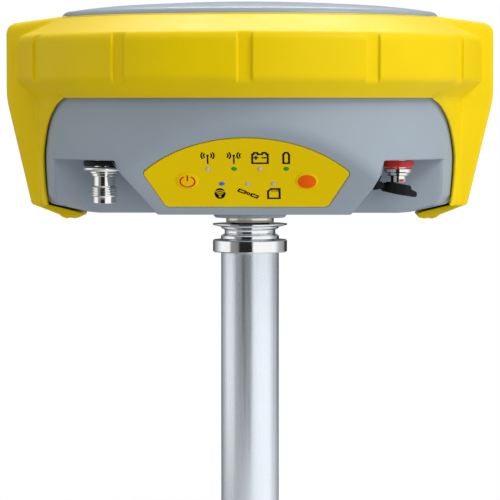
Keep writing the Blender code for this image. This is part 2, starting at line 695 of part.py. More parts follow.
def build_battery_bay(parent):
    hinge_y, hinge_z = DOOR_HINGE
    low = hinge_z + HINGE_RADIUS + GAP
    half = DOOR_HALF_WIDTH
    outline = [(-half, low), (half, low), (half, DOOR_TOP), (-half, DOOR_TOP)]
    outline = round_corners(outline, [1.0, 1.0, 4.0, 4.0])
    door = prism("battery_door", outline, "Y", DOOR_INNER, DOOR_OUTER)
    barrel = (-BARREL_HALF_LENGTH, BARREL_HALF_LENGTH)
    neck = box("door_neck", barrel, (hinge_y - 1.3, DOOR_OUTER), (hinge_z, low + 1.0))
    join(door, neck, along_x("door_barrel", HINGE_RADIUS, *barrel))
    latch_low, latch_high = LATCH_HEIGHTS
    slot_x = (-LATCH_HALF_WIDTH - GAP, LATCH_HALF_WIDTH + GAP + LATCH_TRAVEL)
    slot = box("latch_slot", slot_x, (DOOR_OUTER - 1.2, 80.0), (latch_low - GAP, latch_high + GAP))
    cut(door, slot, along_x("door_bore", PIN_HOLE, -30.0, 30.0))
    finish(door, parent, "grey_plastic", origin=(0.0, hinge_y, hinge_z))

    latch_x = (-LATCH_HALF_WIDTH, LATCH_HALF_WIDTH)
    latch = box("door_latch", latch_x, (DOOR_OUTER - 0.9, DOOR_OUTER + 0.6), LATCH_HEIGHTS)
    middle = (latch_low + latch_high) / 2
    finish(latch, parent, "black_plastic", origin=(0.0, DOOR_OUTER, middle), smooth=False)

    pin = along_x("door_hinge_pin", PIN_RADIUS, -PIN_HALF_LENGTH, PIN_HALF_LENGTH)
    finish(pin, parent, "polished_steel")

    battery_x = (-BATTERY_HALF_WIDTH, BATTERY_HALF_WIDTH)
    battery = box("battery", battery_x, BATTERY_DEPTHS, BATTERY_HEIGHTS)
    origin = (0.0, BATTERY_DEPTHS[1], sum(BATTERY_HEIGHTS) / 2)
    finish(battery, parent, "black_plastic", origin=origin, smooth=False)
    contacts = box("battery_contacts", (-15.0, 15.0), (BAY_FRONT + GAP, 32.2), (11.0, 25.0))
    finish(contacts, parent, "black_plastic", smooth=False)


# ---- The electronics ----


def build_posts(name, spots, low, high, parent, material):
    for number, spot in enumerate(spots, 1):
        post = disc(f"{name}_{number}", POST_RADIUS, low, high, TINY_SEGMENTS, spot)
        finish(post, parent, material)


def build_electronics(parent):
    """The main board on four posts, and above it the ground plane and the antenna element."""
    under_board = BOARD_BOTTOM - GAP
    on_board = BOARD_TOP + GAP
    build_posts("board_post", BOARD_POSTS, CAVITY_FLOOR + GAP, under_board, parent, "insert_brass")
    board = disc("main_board", BOARD_RADIUS, BOARD_BOTTOM, BOARD_TOP, SHELL_SEGMENTS)
    finish(board, parent, "circuit_board")
    depths = (-MODULE_HALF_DEPTH, MODULE_HALF_DEPTH)
    shield = box("radio_shield", (-48.0, -8.0), depths, (on_board, on_board + SHIELD_HEIGHT))
    finish(shield, parent, "tinned_metal", smooth=False)
    module = box("radio_module", (0.0, 50.0), depths, (on_board, on_board + MODULE_HEIGHT))
    finish(module, parent, "tinned_metal", smooth=False)
    reader = box("card_reader", (-7.0, 7.0), (-50.0, -35.0), (under_board - READER_HEIGHT, under_board))
    finish(reader, parent, "tinned_metal", smooth=False)

    top = GROUND_PLANE_BOTTOM - GAP
    build_posts("antenna_post", ANTENNA_POSTS, on_board, top, parent, "white_insulator")
    plane = disc(
        "ground_plane", GROUND_PLANE_RADIUS, GROUND_PLANE_BOTTOM, GROUND_PLANE_TOP, SHELL_SEGMENTS
    )
    finish(plane, parent, "tinned_metal")
    low = GROUND_PLANE_TOP + GAP
    element = disc("antenna_element", ELEMENT_RADIUS, low, low + ELEMENT_HEIGHT, SEAL_SEGMENTS)
    finish(element, parent, "white_insulator")


def main():
    clear_scene()
    make_materials()
    build_pole()
    receiver = frame("receiver_frame", (0.0, 0.0, BOSS_HEIGHT), (0.0, 0.0, 0.0), None)
    build_bumper(receiver)
    build_radome(receiver)
    build_housing(receiver)
    build_keypad(receiver)
    build_antenna_port(receiver)
    build_round_socket(receiver)
    build_battery_bay(receiver)
    build_electronics(receiver)


main()
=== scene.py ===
"""The looks of the satellite positioning receiver on its pole section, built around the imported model.

Shapes are written in millimetres in the receiver's own frame: heights are above the lower face of
its mounting boss, +X is to the right and the keypad faces -Y. place() turns them into metres.
"""

import json
import math

import bmesh
import bpy
import numpy as np
from mathutils import Matrix, Vector


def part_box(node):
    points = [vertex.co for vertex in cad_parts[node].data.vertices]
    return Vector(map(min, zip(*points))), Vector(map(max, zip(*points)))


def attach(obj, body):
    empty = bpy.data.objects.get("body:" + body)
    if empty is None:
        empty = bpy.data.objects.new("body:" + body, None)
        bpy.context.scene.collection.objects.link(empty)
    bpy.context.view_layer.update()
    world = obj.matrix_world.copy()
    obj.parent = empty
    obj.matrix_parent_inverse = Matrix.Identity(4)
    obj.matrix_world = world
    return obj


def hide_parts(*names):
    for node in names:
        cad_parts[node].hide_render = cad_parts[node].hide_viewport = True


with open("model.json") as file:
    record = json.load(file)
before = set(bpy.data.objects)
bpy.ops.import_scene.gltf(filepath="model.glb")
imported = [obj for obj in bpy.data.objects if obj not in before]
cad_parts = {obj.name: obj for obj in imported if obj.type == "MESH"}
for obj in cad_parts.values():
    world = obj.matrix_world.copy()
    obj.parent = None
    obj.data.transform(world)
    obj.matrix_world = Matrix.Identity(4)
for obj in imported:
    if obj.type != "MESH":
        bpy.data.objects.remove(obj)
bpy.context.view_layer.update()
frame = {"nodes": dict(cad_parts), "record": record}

MM = 0.001
MERGE = 0.0005  # vertices closer than this, in millimetres, are one
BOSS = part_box("lower_housing")[0].z  # height of the receiver's zero above the floor, in metres
RECEIVER = Matrix.Translation((0.0, 0.0, BOSS)) @ Matrix.Scale(MM, 4)


def local_box(node):
    """(lowest, highest) corner of a CAD node in the receiver's frame, in millimetres."""
    low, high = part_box(node)
    back = RECEIVER.inverted()
    return back @ low, back @ high


def local_centre(node):
    low, high = local_box(node)
    return (low + high) / 2


# ---------------------------------------------------------------- materials


class Nodes:
    """Builds one material's nodes in code. Each method returns the new node's output socket."""

    def __init__(self, name):
        self.material = bpy.data.materials.new(name)
        self.material.use_nodes = True
        self.tree = self.material.node_tree
        self.shader = self.tree.nodes["Principled BSDF"]
        self.place = self.node("ShaderNodeTexCoord").outputs["Object"]

    def node(self, kind, **settings):
        made = self.tree.nodes.new(kind)
        for key, value in settings.items():
            setattr(made, key, value)
        return made

    def link(self, value, socket):
        if isinstance(value, bpy.types.NodeSocket):
            self.tree.links.new(value, socket)
        else:
            socket.default_value = value

    def surface(self, name, value):
        """Sets one of the shader's inputs to a value, or to what another node makes."""
        self.link(value, self.shader.inputs[name])

    def stretched(self, scale):
        """Object coordinates scaled along each axis."""
        mapping = self.node("ShaderNodeMapping")
        self.link(self.place, mapping.inputs["Vector"])
        mapping.inputs["Scale"].default_value = scale
        return mapping.outputs["Vector"]

    def noise(self, size_mm, detail=2.0, vector=None, roughness=0.5):
        noise = self.node("ShaderNodeTexNoise")
        self.link(vector or self.place, noise.inputs["Vector"])
        noise.inputs["Scale"].default_value = 1.0 / (size_mm * MM)
        noise.inputs["Detail"].default_value = detail
        noise.inputs["Roughness"].default_value = roughness
        return noise.outputs["Fac"]

    def ramp(self, value, low, high, start=0.3, end=0.7):
        """Maps a value to low..high between two of its levels."""
        mapped = self.node("ShaderNodeMapRange")
        self.link(value, mapped.inputs["Value"])
        for key, number in (("From Min", start), ("From Max", end), ("To Min", low), ("To Max", high)):
            mapped.inputs[key].default_value = number
        return mapped.outputs["Result"]

    def blend(self, factor, first, second):
        mix = self.node("ShaderNodeMix", data_type="RGBA")
        self.link(factor, mix.inputs["Factor"])
        self.link(first, mix.inputs[6])
        self.link(second, mix.inputs[7])
        return mix.outputs[2]

    def bump(self, height, depth_mm, strength=1.0):
        bump = self.node("ShaderNodeBump")
        bump.inputs["Strength"].default_value = strength
        bump.inputs["Distance"].default_value = depth_mm * MM
        self.link(height, bump.inputs["Height"])
        return bump.outputs["Normal"]


def shade(colour, factor):
    return (*[min(1.0, channel * factor) for channel in colour], 1.0)


def plastic(name, colour, roughness, grain_mm=0.35, grain_depth=0.012, spread=0.04, coat=0.0, shine=0.3):
    """Moulded plastic or rubber: spark-eroded grain, slow colour drift and uneven gloss."""
    made = Nodes(name)
    drift = made.ramp(made.noise(30.0, 3.0), 0.0, 1.0)
    colours = made.blend(drift, shade(colour, 1.0 - spread), shade(colour, 1.0 + spread))
    made.surface("Base Color", colours)
    gloss = made.ramp(made.noise(6.0, 4.0), roughness - 0.05, roughness + 0.05)
    made.surface("Roughness", gloss)
    grain = made.noise(grain_mm, 3.0, roughness=0.6)
    made.surface("Normal", made.bump(grain, grain_depth))
    made.surface("Specular IOR Level", shine)
    made.surface("Coat Weight", coat)
    made.surface("Coat Roughness", 0.15)
    return made.material


def metal(name, colour, roughness, stretch=(1.0, 1.0, 1.0), grain_mm=0.5, depth=0.004, spread=0.06, bare=1.0):
    """Bare metal with tool marks that run along the axes whose stretch is small."""
    made = Nodes(name)
    marks = made.noise(grain_mm, 3.0, vector=made.stretched(stretch))
    made.surface("Roughness", made.ramp(marks, roughness * 0.75, roughness * 1.3))
    clouds = made.ramp(made.noise(14.0, 2.0), 0.0, 1.0)
    colours = made.blend(clouds, shade(colour, 1.0 - spread), shade(colour, 1.0))
    made.surface("Base Color", colours)
    made.surface("Normal", made.bump(marks, depth))
    made.surface("Metallic", bare)
    return made.material


def lamp(name, colour, glow):
    """A small diffused lens, lit or not, with a fine speckle in its colour."""
    made = Nodes(name)
    speckle = made.ramp(made.noise(0.25, 2.0), 0.0, 1.0)
    colours = made.blend(speckle, shade(colour, 0.85), shade(colour, 1.1))
    made.surface("Base Color", colours)
    made.surface("Emission Color", colours)
    made.surface("Emission Strength", glow)
    made.surface("Roughness", 0.3)
    made.surface("Specular IOR Level", 0.15)
    return made.material


PAINTS = {
    "yellow": plastic("yellow_moulding", (0.86, 0.625, 0.0), 0.42, spread=0.03, shine=0.12),
    # The panel film's yellow is painted lighter than the shell's yellow: painted light that makes up for the
    # shade on its downward-facing face.
    "panel": plastic("panel_film_painted_lighter", (0.92, 0.655, 0.0), 0.45, 0.2, 0.006, spread=0.02, shine=0.04),
    "grey": plastic("grey_moulding", (0.35, 0.41, 0.475), 0.46, spread=0.03, shine=0.25),
    "radome": plastic("radome_moulding", (0.315, 0.38, 0.455), 0.36, spread=0.03, shine=0.4),
    "rubber": plastic("black_rubber", (0.005, 0.006, 0.007), 0.5, grain_mm=0.5, spread=0.3, shine=0.2),
    "black": plastic("black_plastic", (0.015, 0.015, 0.018), 0.42, spread=0.2),
    "ink": plastic("black_ink", (0.004, 0.003, 0.002), 0.6, 0.2, 0.004, spread=0.1, shine=0.05),
    "red_ink": plastic("red_ink", (0.80, 0.0, 0.022), 0.5, 0.2, 0.004, shine=0.05),
    "orange": plastic("orange_key", (1.0, 0.13, 0.0), 0.4, 0.25, 0.006, shine=0.08),
    "red": plastic("red_ring", (0.66, 0.02, 0.015), 0.3, 0.4, 0.004, coat=0.2),
    "white": plastic("white_insulator", (0.80, 0.79, 0.75), 0.4),
    "board": plastic("circuit_board", (0.02, 0.15, 0.05), 0.35, 1.5, 0.03, spread=0.25),
    "turned": metal("turned_steel", (0.86, 0.87, 0.89), 0.10, (0.05, 0.05, 1.0), 0.3, 0.001),
    "tube": metal("drawn_tube", (0.82, 0.89, 0.95), 0.28, (1.0, 1.0, 0.02), 1.2, 0.0006, 0.02, 0.72),
    "plated": metal("plated_metal", (0.86, 0.86, 0.83), 0.08, (0.1, 0.1, 1.0), 0.3, 0.001),
    "brass": metal("machined_brass", (0.78, 0.70, 0.56), 0.14, (0.1, 0.1, 1.0), 0.4, 0.001),
    "tinned": metal("tinned_sheet", (0.66, 0.66, 0.65), 0.32, (1.0, 1.0, 1.0), 2.0),
    "lamp_off": lamp("lamp_off", (0.66, 0.55, 0.62), 0.0),
    "lamp_green": lamp("lamp_green", (0.0, 0.34, 0.05), 0.10),
    "lamp_blue": lamp("lamp_blue", (0.0, 0.17, 0.80), 0.15),
}

# ---------------------------------------------------------------- mesh tools


def place(name, work, paint, matrix=RECEIVER, smooth_angle=35.0):
    """Makes an object from a bmesh in millimetres, with one finish and its faces turned out."""
    bmesh.ops.remove_doubles(work, verts=work.verts, dist=MERGE)
    bmesh.ops.recalc_face_normals(work, faces=work.faces)
    bmesh.ops.transform(work, matrix=matrix, verts=work.verts)
    mesh = bpy.data.meshes.new(name)
    work.to_mesh(mesh)
    work.free()
    piece = bpy.data.objects.new(name, mesh)
    bpy.context.scene.collection.objects.link(piece)
    mesh.materials.append(PAINTS[paint])
    mesh.shade_smooth()
    mesh.set_sharp_from_angle(angle=math.radians(smooth_angle))
    return piece


def smooth_curve(points, steps=8):
    """A Catmull-Rom curve through the points."""
    before = 2 * np.array(points[0]) - points[1]
    after = 2 * np.array(points[-1]) - points[-2]
    ends = [before, *map(np.array, points), after]
    curve = []
    for a, b, c, d in zip(ends, ends[1:], ends[2:], ends[3:]):
        for t in np.arange(steps) / steps:
            square = (2 * a - 5 * b + 4 * c - d) * t**2
            cube = (3 * b - a - 3 * c + d) * t**3
            curve.append(tuple((2 * b + (c - a) * t + square + cube) / 2))
    return curve + [tuple(points[-1])]


def rounded(outline, radii, steps=5, closed=True):
    """Replaces each corner that has a radius with an arc tangent to its two sides."""
    radii = radii if isinstance(radii, (list, tuple)) else [radii] * len(outline)
    result = []
    for i, (point, radius) in enumerate(zip(outline, radii)):
        if not radius or (not closed and i in (0, len(outline) - 1)):
            result.append(tuple(point))
            continue
        here = Vector(point)
        back = Vector(outline[i - 1]) - here
        ahead = Vector(outline[(i + 1) % len(outline)]) - here
        half = back.angle(ahead) / 2
        if half > math.radians(89.0):
            result.append(tuple(point))
            continue
        reach = min(radius / math.tan(half), back.length * 0.49, ahead.length * 0.49)
        radius = reach * math.tan(half)
        back.normalize()
        ahead.normalize()
        centre = here + (back + ahead).normalized() * radius / math.sin(half)
        start = here + back * reach - centre
        end = here + ahead * reach - centre
        turn = start.angle_signed(end)
        for k in range(steps + 1):
            result.append(tuple(centre + Matrix.Rotation(-turn * k / steps, 2) @ start))
    return result


def rectangle(left, right, low, high):
    return [(left, low), (right, low), (right, high), (left, high)]


def arc(centre, radius, start, end, steps):
    angles = np.radians(np.linspace(start, end, steps + 1))
    return [(centre[0] + radius * math.cos(a), centre[1] + radius * math.sin(a)) for a in angles]


def at_level(outline, level):
    return [(x, y, level) for x, y in outline]


def join_loops(work, loops):
    """Side faces between one closed loop of vertices and the next."""
    for near, far in zip(loops, loops[1:]):
        for i in range(len(near)):
            j = (i + 1) % len(near)
            work.faces.new((near[i], near[j], far[j], far[i]))


def is_ring(profile):
    """Whether a turned profile stays off the axis at an end, and so closes on itself."""
    return profile[0][0] > 0 or profile[-1][0] > 0


def in_fixed_order(work):
    """The same mesh with its faces sorted, because spin orders them differently from run to run."""
    work.verts.index_update()
    faces = []
    for face in work.faces:
        corners = [vert.index for vert in face.verts]
        first = corners.index(min(corners))
        faces.append(corners[first:] + corners[:first])
    again = bmesh.new()
    verts = [again.verts.new(vert.co) for vert in work.verts]
    for corners in sorted(faces):
        again.faces.new([verts[i] for i in corners])
    work.free()
    return again


def lathe_mesh(profile, segments, centre=(0.0, 0.0)):
    """A bmesh turned about an upright axis."""
    work = bmesh.new()
    points = [work.verts.new((radius, 0.0, height)) for radius, height in profile]
    edges = [work.edges.new(pair) for pair in zip(points, points[1:])]
    if is_ring(profile):
        edges.append(work.edges.new((points[-1], points[0])))
    bmesh.ops.spin(
        work, geom=points + edges, cent=(0, 0, 0), axis=(0, 0, 1),
        angle=math.tau, steps=segments, use_merge=True,
    )
    bmesh.ops.translate(work, verts=work.verts, vec=(*centre, 0.0))
    bmesh.ops.remove_doubles(work, verts=work.verts, dist=MERGE)
    return in_fixed_order(work)


def add_solid(work, rings):
    """Adds a closed solid through rings of points, which all have the same length."""
    loops = [[work.verts.new(point) for point in ring] for ring in rings]
    work.faces.new(loops[0])
    work.faces.new(loops[-1])
    join_loops(work, loops)


def loft_mesh(rings):
    """A bmesh with one closed solid through rings of points."""
    work = bmesh.new()
    add_solid(work, rings)
    bmesh.ops.recalc_face_normals(work, faces=work.faces)
    return work


def prism_rings(outline, axis, low, high):
    """An outline at two levels along X, Y or Z. Its points give the other two axes in order."""
    order = {"X": (2, 0, 1), "Y": (0, 2, 1), "Z": (0, 1, 2)}[axis]
    return [[[(a, b, level)[i] for i in order] for a, b in outline] for level in (low, high)]


def prism_mesh(outline, axis, low, high):
    return loft_mesh(prism_rings(outline, axis, low, high))


def lathe(name, profile, paint, centre=(0.0, 0.0), segments=96, radius=0.0, smooth_angle=35.0):
    """A turned piece. A radius rounds the profile's corners."""
    if radius:
        profile = rounded(profile, radius, 3, closed=is_ring(profile))
    return place(name, lathe_mesh(profile, segments, centre), paint, smooth_angle=smooth_angle)


def evaluated_mesh(piece):
    graph = bpy.context.evaluated_depsgraph_get()
    return bpy.data.meshes.new_from_object(piece.evaluated_get(graph))


def combine(target, operation, cutters):
    """Applies exact Booleans to a piece, one by one. The cutters are bmeshes, which this uses up."""
    for work in cutters:
        bmesh.ops.recalc_face_normals(work, faces=work.faces)
        bmesh.ops.transform(work, matrix=RECEIVER, verts=work.verts)
        mesh = bpy.data.meshes.new("tool")
        work.to_mesh(mesh)
        work.free()
        tool = bpy.data.objects.new("tool", mesh)
        bpy.context.scene.collection.objects.link(tool)
        modifier = target.modifiers.new("Boolean", "BOOLEAN")
        modifier.solver = "EXACT"
        modifier.operation = operation
        modifier.object = tool
        mesh = evaluated_mesh(target)
        if not mesh.polygons:
            modifier.use_hole_tolerant = True
            mesh = evaluated_mesh(target)
        target.modifiers.clear()
        target.data = mesh
        bpy.data.objects.remove(tool, do_unlink=True)
    return target


def to_work(piece):
    """A piece's mesh as a bmesh in the receiver's frame."""
    work = bmesh.new()
    work.from_mesh(piece.data)
    bmesh.ops.transform(work, matrix=RECEIVER.inverted(), verts=work.verts)
    return work


def smooth_max(a, b, width):
    """The larger of two distances, with the edge between them rounded over a width."""
    near = np.maximum(width - np.abs(a - b), 0.0) / width
    return np.maximum(a, b) + near * near * width / 4.0


def smooth_min(a, b, width):
    return -smooth_max(-a, -b, width)

# ---------------------------------------------------------------- the bumper shell

EAR_X = local_box("bumper_shell")[1].x
BAND_RADIUS = 95.5
GROOVE_HALF = 2.75
GROOVE_FLOOR = 94.3
GROOVE_ANGLES = np.radians([0.0, 31.0, 62.0])
BAND_BOTTOM = 48.8
LEG_BOTTOM = 5.7
ARCH_CORNER = (72.4, BAND_BOTTOM)
SHELL_THICKNESS = 1.1
EDGE_STEP = 1.1  # how far the leg's chamfer steps in at its very edge
LEG_RADIUS = 87.5  # typical radius of the leg's skirt, for lengths measured round it
FAN_RADIUS = 86.0  # the point inside the shoulder that its fan of rays starts from
FAN_HEIGHT = 66.0
RAY_LENGTH = 32.0
HALVINGS = 36


def skirt_radius(height):
    return 86.9 + (height - LEG_BOTTOM) * 0.0302


def line_distance(a, b, point, normal):
    """Signed distance from a line in a section, positive on the side that its normal points to."""
    length = math.hypot(*normal)
    return ((a - point[0]) * normal[0] + (b - point[1]) * normal[1]) / length


def shell_distance(radius, azimuth, height):
    """Roughly the distance outside the shell's outer surface. Azimuth 0 is +X."""
    across = np.abs(radius * np.cos(azimuth))
    depth = np.abs(radius * np.sin(azimuth))
    top = line_distance(radius, height, (90.9, 75.3), (6.2, 13.5))
    low = line_distance(radius, height, (93.9, 54.3), (5.5, -5.7))
    band = smooth_max(smooth_max(top, radius - BAND_RADIUS, 2.4), low, 1.2)
    from_front = np.arctan2(across, depth)
    for angle in GROOVE_ANGLES:
        beside = np.abs(radius * np.sin(from_front - angle)) - GROOVE_HALF
        band = smooth_max(band, -smooth_max(beside, GROOVE_FLOOR - radius, 0.4), 0.7)

    flat = across - EAR_X
    taper = line_distance(across, height, (EAR_X, 48.9), (43.2, -10.8))
    facet = ((across - EAR_X) * 0.6 + depth - 12.0) / 1.166
    lid = line_distance(across, height, (96.0, 79.4), (2.0, 18.0))
    ear = smooth_max(smooth_max(flat, taper, 1.0), facet, 1.6)
    ear = smooth_max(ear, lid, 4.6)

    skirt = smooth_max(radius - skirt_radius(height), height - 60.0, 1.0)
    return smooth_min(smooth_min(band, ear, 0.7), skirt, 1.0)


def arch_edge():
    """The leg's edge as (height, angle from the X axis) from the bottom up to the arch's corner."""
    points = [(81.2, LEG_BOTTOM), (82.3, 11.4), (83.1, 20.0), (83.0, 28.0), (80.6, 38.5), (76.6, 45.6)]
    curve = np.array(smooth_curve([*points, ARCH_CORNER], 12))
    return curve[:, 1], np.arccos(curve[:, 0] / (skirt_radius(curve[:, 1]) - EDGE_STEP))


def shell_columns(edge_angle):
    """Column angles from the X axis in one quarter, closer together at the grooves and the leg's edge."""
    columns = [np.linspace(0.0, edge_angle, 76), np.linspace(edge_angle, math.pi / 2, 116)]
    beside = np.array([2.0, 2.3, 2.55, 2.7, 2.85, 3.0, 3.3]) / BAND_RADIUS
    for angle in math.pi / 2 - GROOVE_ANGLES:
        columns += [angle - beside, angle + beside]
    columns = np.unique(np.round(np.concatenate(columns), 6))
    return columns[(columns >= 0.0) & (columns <= math.pi / 2 + 1e-6)]


def shell_rows():
    """Rays in the section, as (radius, height, direction): level, a fan at the shoulder, upright."""
    legs = np.concatenate([np.linspace(LEG_BOTTOM, 44.0, 46), np.linspace(44.0, BAND_BOTTOM, 13)[1:-1]])
    rim = BAND_BOTTOM + np.array([0.0, 0.1, 0.25, 0.5, 0.8, 1.2])
    band = np.concatenate([rim, np.linspace(50.7, FAN_HEIGHT, 22)])
    rows = [(80.0, height, 1.0, 0.0) for height in np.concatenate([legs, band])]
    for angle in np.linspace(0.0, math.pi / 2, 34)[1:]:
        rows.append((FAN_RADIUS, FAN_HEIGHT, math.cos(angle), math.sin(angle)))
    rows += [(radius, FAN_HEIGHT, 0.0, 1.0) for radius in np.linspace(FAN_RADIUS, 77.4, 12)[1:]]
    return np.array(rows), len(legs)


def solve_rays(rows, azimuth):
    """Where each ray leaves the shell, by bisection: (radius, height), one row per ray."""
    inside = np.zeros_like(azimuth)
    outside = np.full_like(azimuth, RAY_LENGTH)
    for _ in range(HALVINGS):
        reach = (inside + outside) / 2
        radius = rows[:, None, 0] + rows[:, None, 2] * reach
        height = rows[:, None, 1] + rows[:, None, 3] * reach
        within = shell_distance(radius, azimuth, height) < 0
        inside = np.where(within, reach, inside)
        outside = np.where(within, outside, reach)
    reach = (inside + outside) / 2
    return rows[:, None, 0] + rows[:, None, 2] * reach, rows[:, None, 1] + rows[:, None, 3] * reach


def edge_relief(along, height, edge_heights, edge_angles):
    """How far the rim steps in for a chamfer down the leg's edge."""
    edge = np.stack([edge_angles * LEG_RADIUS, edge_heights], axis=1)
    points = np.stack([along, height], axis=-1)
    nearest = np.full(along.shape, 99.0)
    for start, end in zip(edge, edge[1:]):
        run = end - start
        share = np.clip(((points - start) @ run) / (run @ run), 0.0, 1.0)
        gap = np.linalg.norm(points - start - share[..., None] * run, axis=-1)
        nearest = np.minimum(nearest, gap)
    chamfer = np.maximum(0.0, 1.25 - nearest * 0.48)
    return np.where(chamfer < 0.3, chamfer * chamfer / 0.6, chamfer - 0.15)


def build_shell():
    """The yellow shell as one warped grid round the receiver, thickened inwards."""
    edge_heights, edge_angles = arch_edge()
    top_angle = edge_angles[-1]
    quarter = shell_columns(top_angle)
    rows, leg_rows = shell_rows()

    # One quarter's columns are mirrored to make the whole circle.
    back = quarter[::-1]
    from_x = np.concatenate([quarter, back[1:], quarter[1:], back[1:-1]])
    azimuth = [quarter, math.pi - back[1:], math.pi + quarter[1:], math.tau - back[1:-1]]
    azimuth = np.concatenate(azimuth)
    falling = (azimuth > math.pi / 2) & (azimuth < math.pi) | (azimuth > 1.5 * math.pi)
    sign = np.where(falling, -1.0, 1.0)
    base = azimuth - sign * from_x

    limit = np.interp(rows[:, 1], edge_heights, edge_angles)
    limit[leg_rows:] = top_angle
    squeeze = limit / top_angle
    in_leg = from_x <= top_angle + 1e-6
    angles = np.where(in_leg, from_x[None, :] * squeeze[:, None], from_x[None, :])
    grid_azimuth = base[None, :] + sign[None, :] * angles
    radius, height = solve_rays(rows, grid_azimuth)

    level = rows[:, 3] == 0.0
    relief = edge_relief(angles * LEG_RADIUS, height, edge_heights, edge_angles)
    under = np.clip(1.0 - (height - BAND_BOTTOM) / 0.6, 0.0, 1.0)
    under = np.where((from_x > top_angle)[None, :], 0.6 * (1.0 - np.sqrt(1.0 - under**2)), 0.0)
    foot = np.clip(1.0 - (height - LEG_BOTTOM) / 0.8, 0.0, 1.0)
    foot = 0.6 * (1.0 - np.sqrt(1.0 - foot**2))
    radius = radius - np.where(level[:, None], np.maximum(np.maximum(relief, under), foot), 0.0)

    # The lip beside the dome, below the top rows, and the cap under each leg, below the first row.
    lip = [(radius[-1], height[-1] - drop) for drop in (0.25, 0.9, 1.9)]
    cap = [(radius[0] * (1 - share) + 85.2 * share, height[0]) for share in (1.0, 0.66, 0.33)]
    radius = np.vstack([*(r for r, _ in cap), radius, *(r for r, _ in lip)])
    height = np.vstack([*(h for _, h in cap), height, *(h for _, h in lip)])
    grid_azimuth = np.vstack([grid_azimuth[0]] * 3 + [grid_azimuth] + [grid_azimuth[-1]] * 3)
    leg_rows += 3

    work = bmesh.new()
    verts = {}
    rows_made, columns_made = radius.shape
    for i in range(rows_made):
        for j in range(columns_made):
            if i >= leg_rows or in_leg[j]:
                r, a = radius[i, j], grid_azimuth[i, j]
                verts[i, j] = work.verts.new((r * math.cos(a), r * math.sin(a), height[i, j]))
    for i in range(rows_made - 1):
        for j in range(columns_made):
            k = (j + 1) % columns_made
            corners = [(i, j), (i, k), (i + 1, k), (i + 1, j)]
            if all(corner in verts for corner in corners):
                work.faces.new([verts[corner] for corner in corners])
    shell = place("bumper", work, "yellow", smooth_angle=50.0)
    thick = shell.modifiers.new("thickness", "SOLIDIFY")
    thick.thickness = SHELL_THICKNESS * MM
    thick.offset = -1.0
    return shell


def foot_tab(side):
    """The tongue under a leg, which wraps under the housing and stands on a small bump."""
    outline = [
        (88.0, 5.9), (77.2, 1.7), (76.0, 0.7), (74.2, 0.05), (72.6, 0.35), (70.8, 0.1), (68.9, 0.5),
        (68.1, 1.4), (68.7, 2.3), (70.0, 2.8), (82.2, 5.85), (84.9, 9.2), (86.4, 9.2),
    ]
    outline = rounded(outline, [0.2, 2.0, 1.0, 1.2, 1.0, 0.8, 0.8, 0.8, 0.8, 1.0, 1.0, 0.3, 0.3], 4)
    work = prism_mesh([(side * x, z) for x, z in outline], "Y", -16.0, 16.0)
    work.normal_update()
    sharp = [edge for edge in work.edges if edge.is_manifold and edge.calc_face_angle() > math.radians(50.0)]
    bmesh.ops.bevel(
        work, geom=sharp, offset=0.45, offset_type="OFFSET", segments=3, profile=0.5,
        affect="EDGES", clamp_overlap=True, miter_outer="ARC",
    )
    return place("foot_tab_right" if side > 0 else "foot_tab_left", work, "yellow")


# ---------------------------------------------------------------- dome and seals


def build_dome():
    outside = [(0.0, 88.0), (24.4, 87.6), (48.9, 86.4), (61.0, 85.5), (71.0, 84.3), (74.6, 83.5)]
    outside = smooth_curve(outside, 6)
    rim = arc((74.2, 81.1), 2.75, 72.0, 0.0, 8) + [(76.95, 80.3)]
    inside = [(74.7, 80.3), (73.5, 82.0), (60.0, 83.6), (0.0, 86.0)]
    return lathe("dome", outside + rim + inside, "radome", segments=180)


# ---------------------------------------------------------------- the lower housing

CONSOLE_SLOPE = math.radians(42.0)
CONSOLE_NORMAL = Vector((0.0, -math.cos(CONSOLE_SLOPE), -math.sin(CONSOLE_SLOPE)))
PANEL_TILT = Matrix.Rotation(CONSOLE_SLOPE + math.pi / 2, 4, "X")
PANEL_LOCAL = Matrix.Translation((0.0, -56.65, 6.2)) @ PANEL_TILT
PANEL = RECEIVER @ PANEL_LOCAL
PANEL_HALF_BASE = 31.6
PANEL_TIP = (40.1, 17.8)
PANEL_ARC = 53.5
PANEL_ARC_CENTRE = -17.1
CEILING = 24.5
BROW_END = 17.0  # height at which the rounded brow stops, inside the space of the recesses
RECESS_BACK = -33.0
ACROSS = (-95.0, 95.0)  # right through the housing from side to side
PORT_ROOM = 9.0  # radius kept clear round the port
PORT = local_centre("port_body")
SOCKET = local_centre("socket_body")
CAP_PIVOT = Vector((52.6, SOCKET.y, 14.5))
CAP_OPEN = math.radians(10.0)
STRAP_LEAN = Matrix.Rotation(math.radians(119.64), 4, "Y")
STRAP_LOCAL = Matrix.Translation((51.217, SOCKET.y, 17.17)) @ STRAP_LEAN
HINGE = local_centre("door_hinge_pin")
BARREL_RADIUS = 1.9
PIN_HOLE = 1.1
SCREWS = [local_centre(f"housing_screw_{number}") for number in range(1, 5)]
BUTTONS = {"power": -22.9, "function": 23.5}
BUTTON_T = 14.1
LAMPS = (
    *((x, 20.5) for x in (-14.8, -4.7, 5.4, 15.5)),
    *((x, 12.5) for x in (-9.6, 0.6, 10.6)),
)


def on_wall(face):
    middle = face.calc_center_median()
    outward = Vector((middle.x, middle.y, 0.0)).normalized()
    return abs(face.normal.z) < 0.3 and face.normal.dot(outward) > 0.97 and middle.xy.length > 78.0


def on_console(face):
    return face.normal.dot(CONSOLE_NORMAL) > 0.999


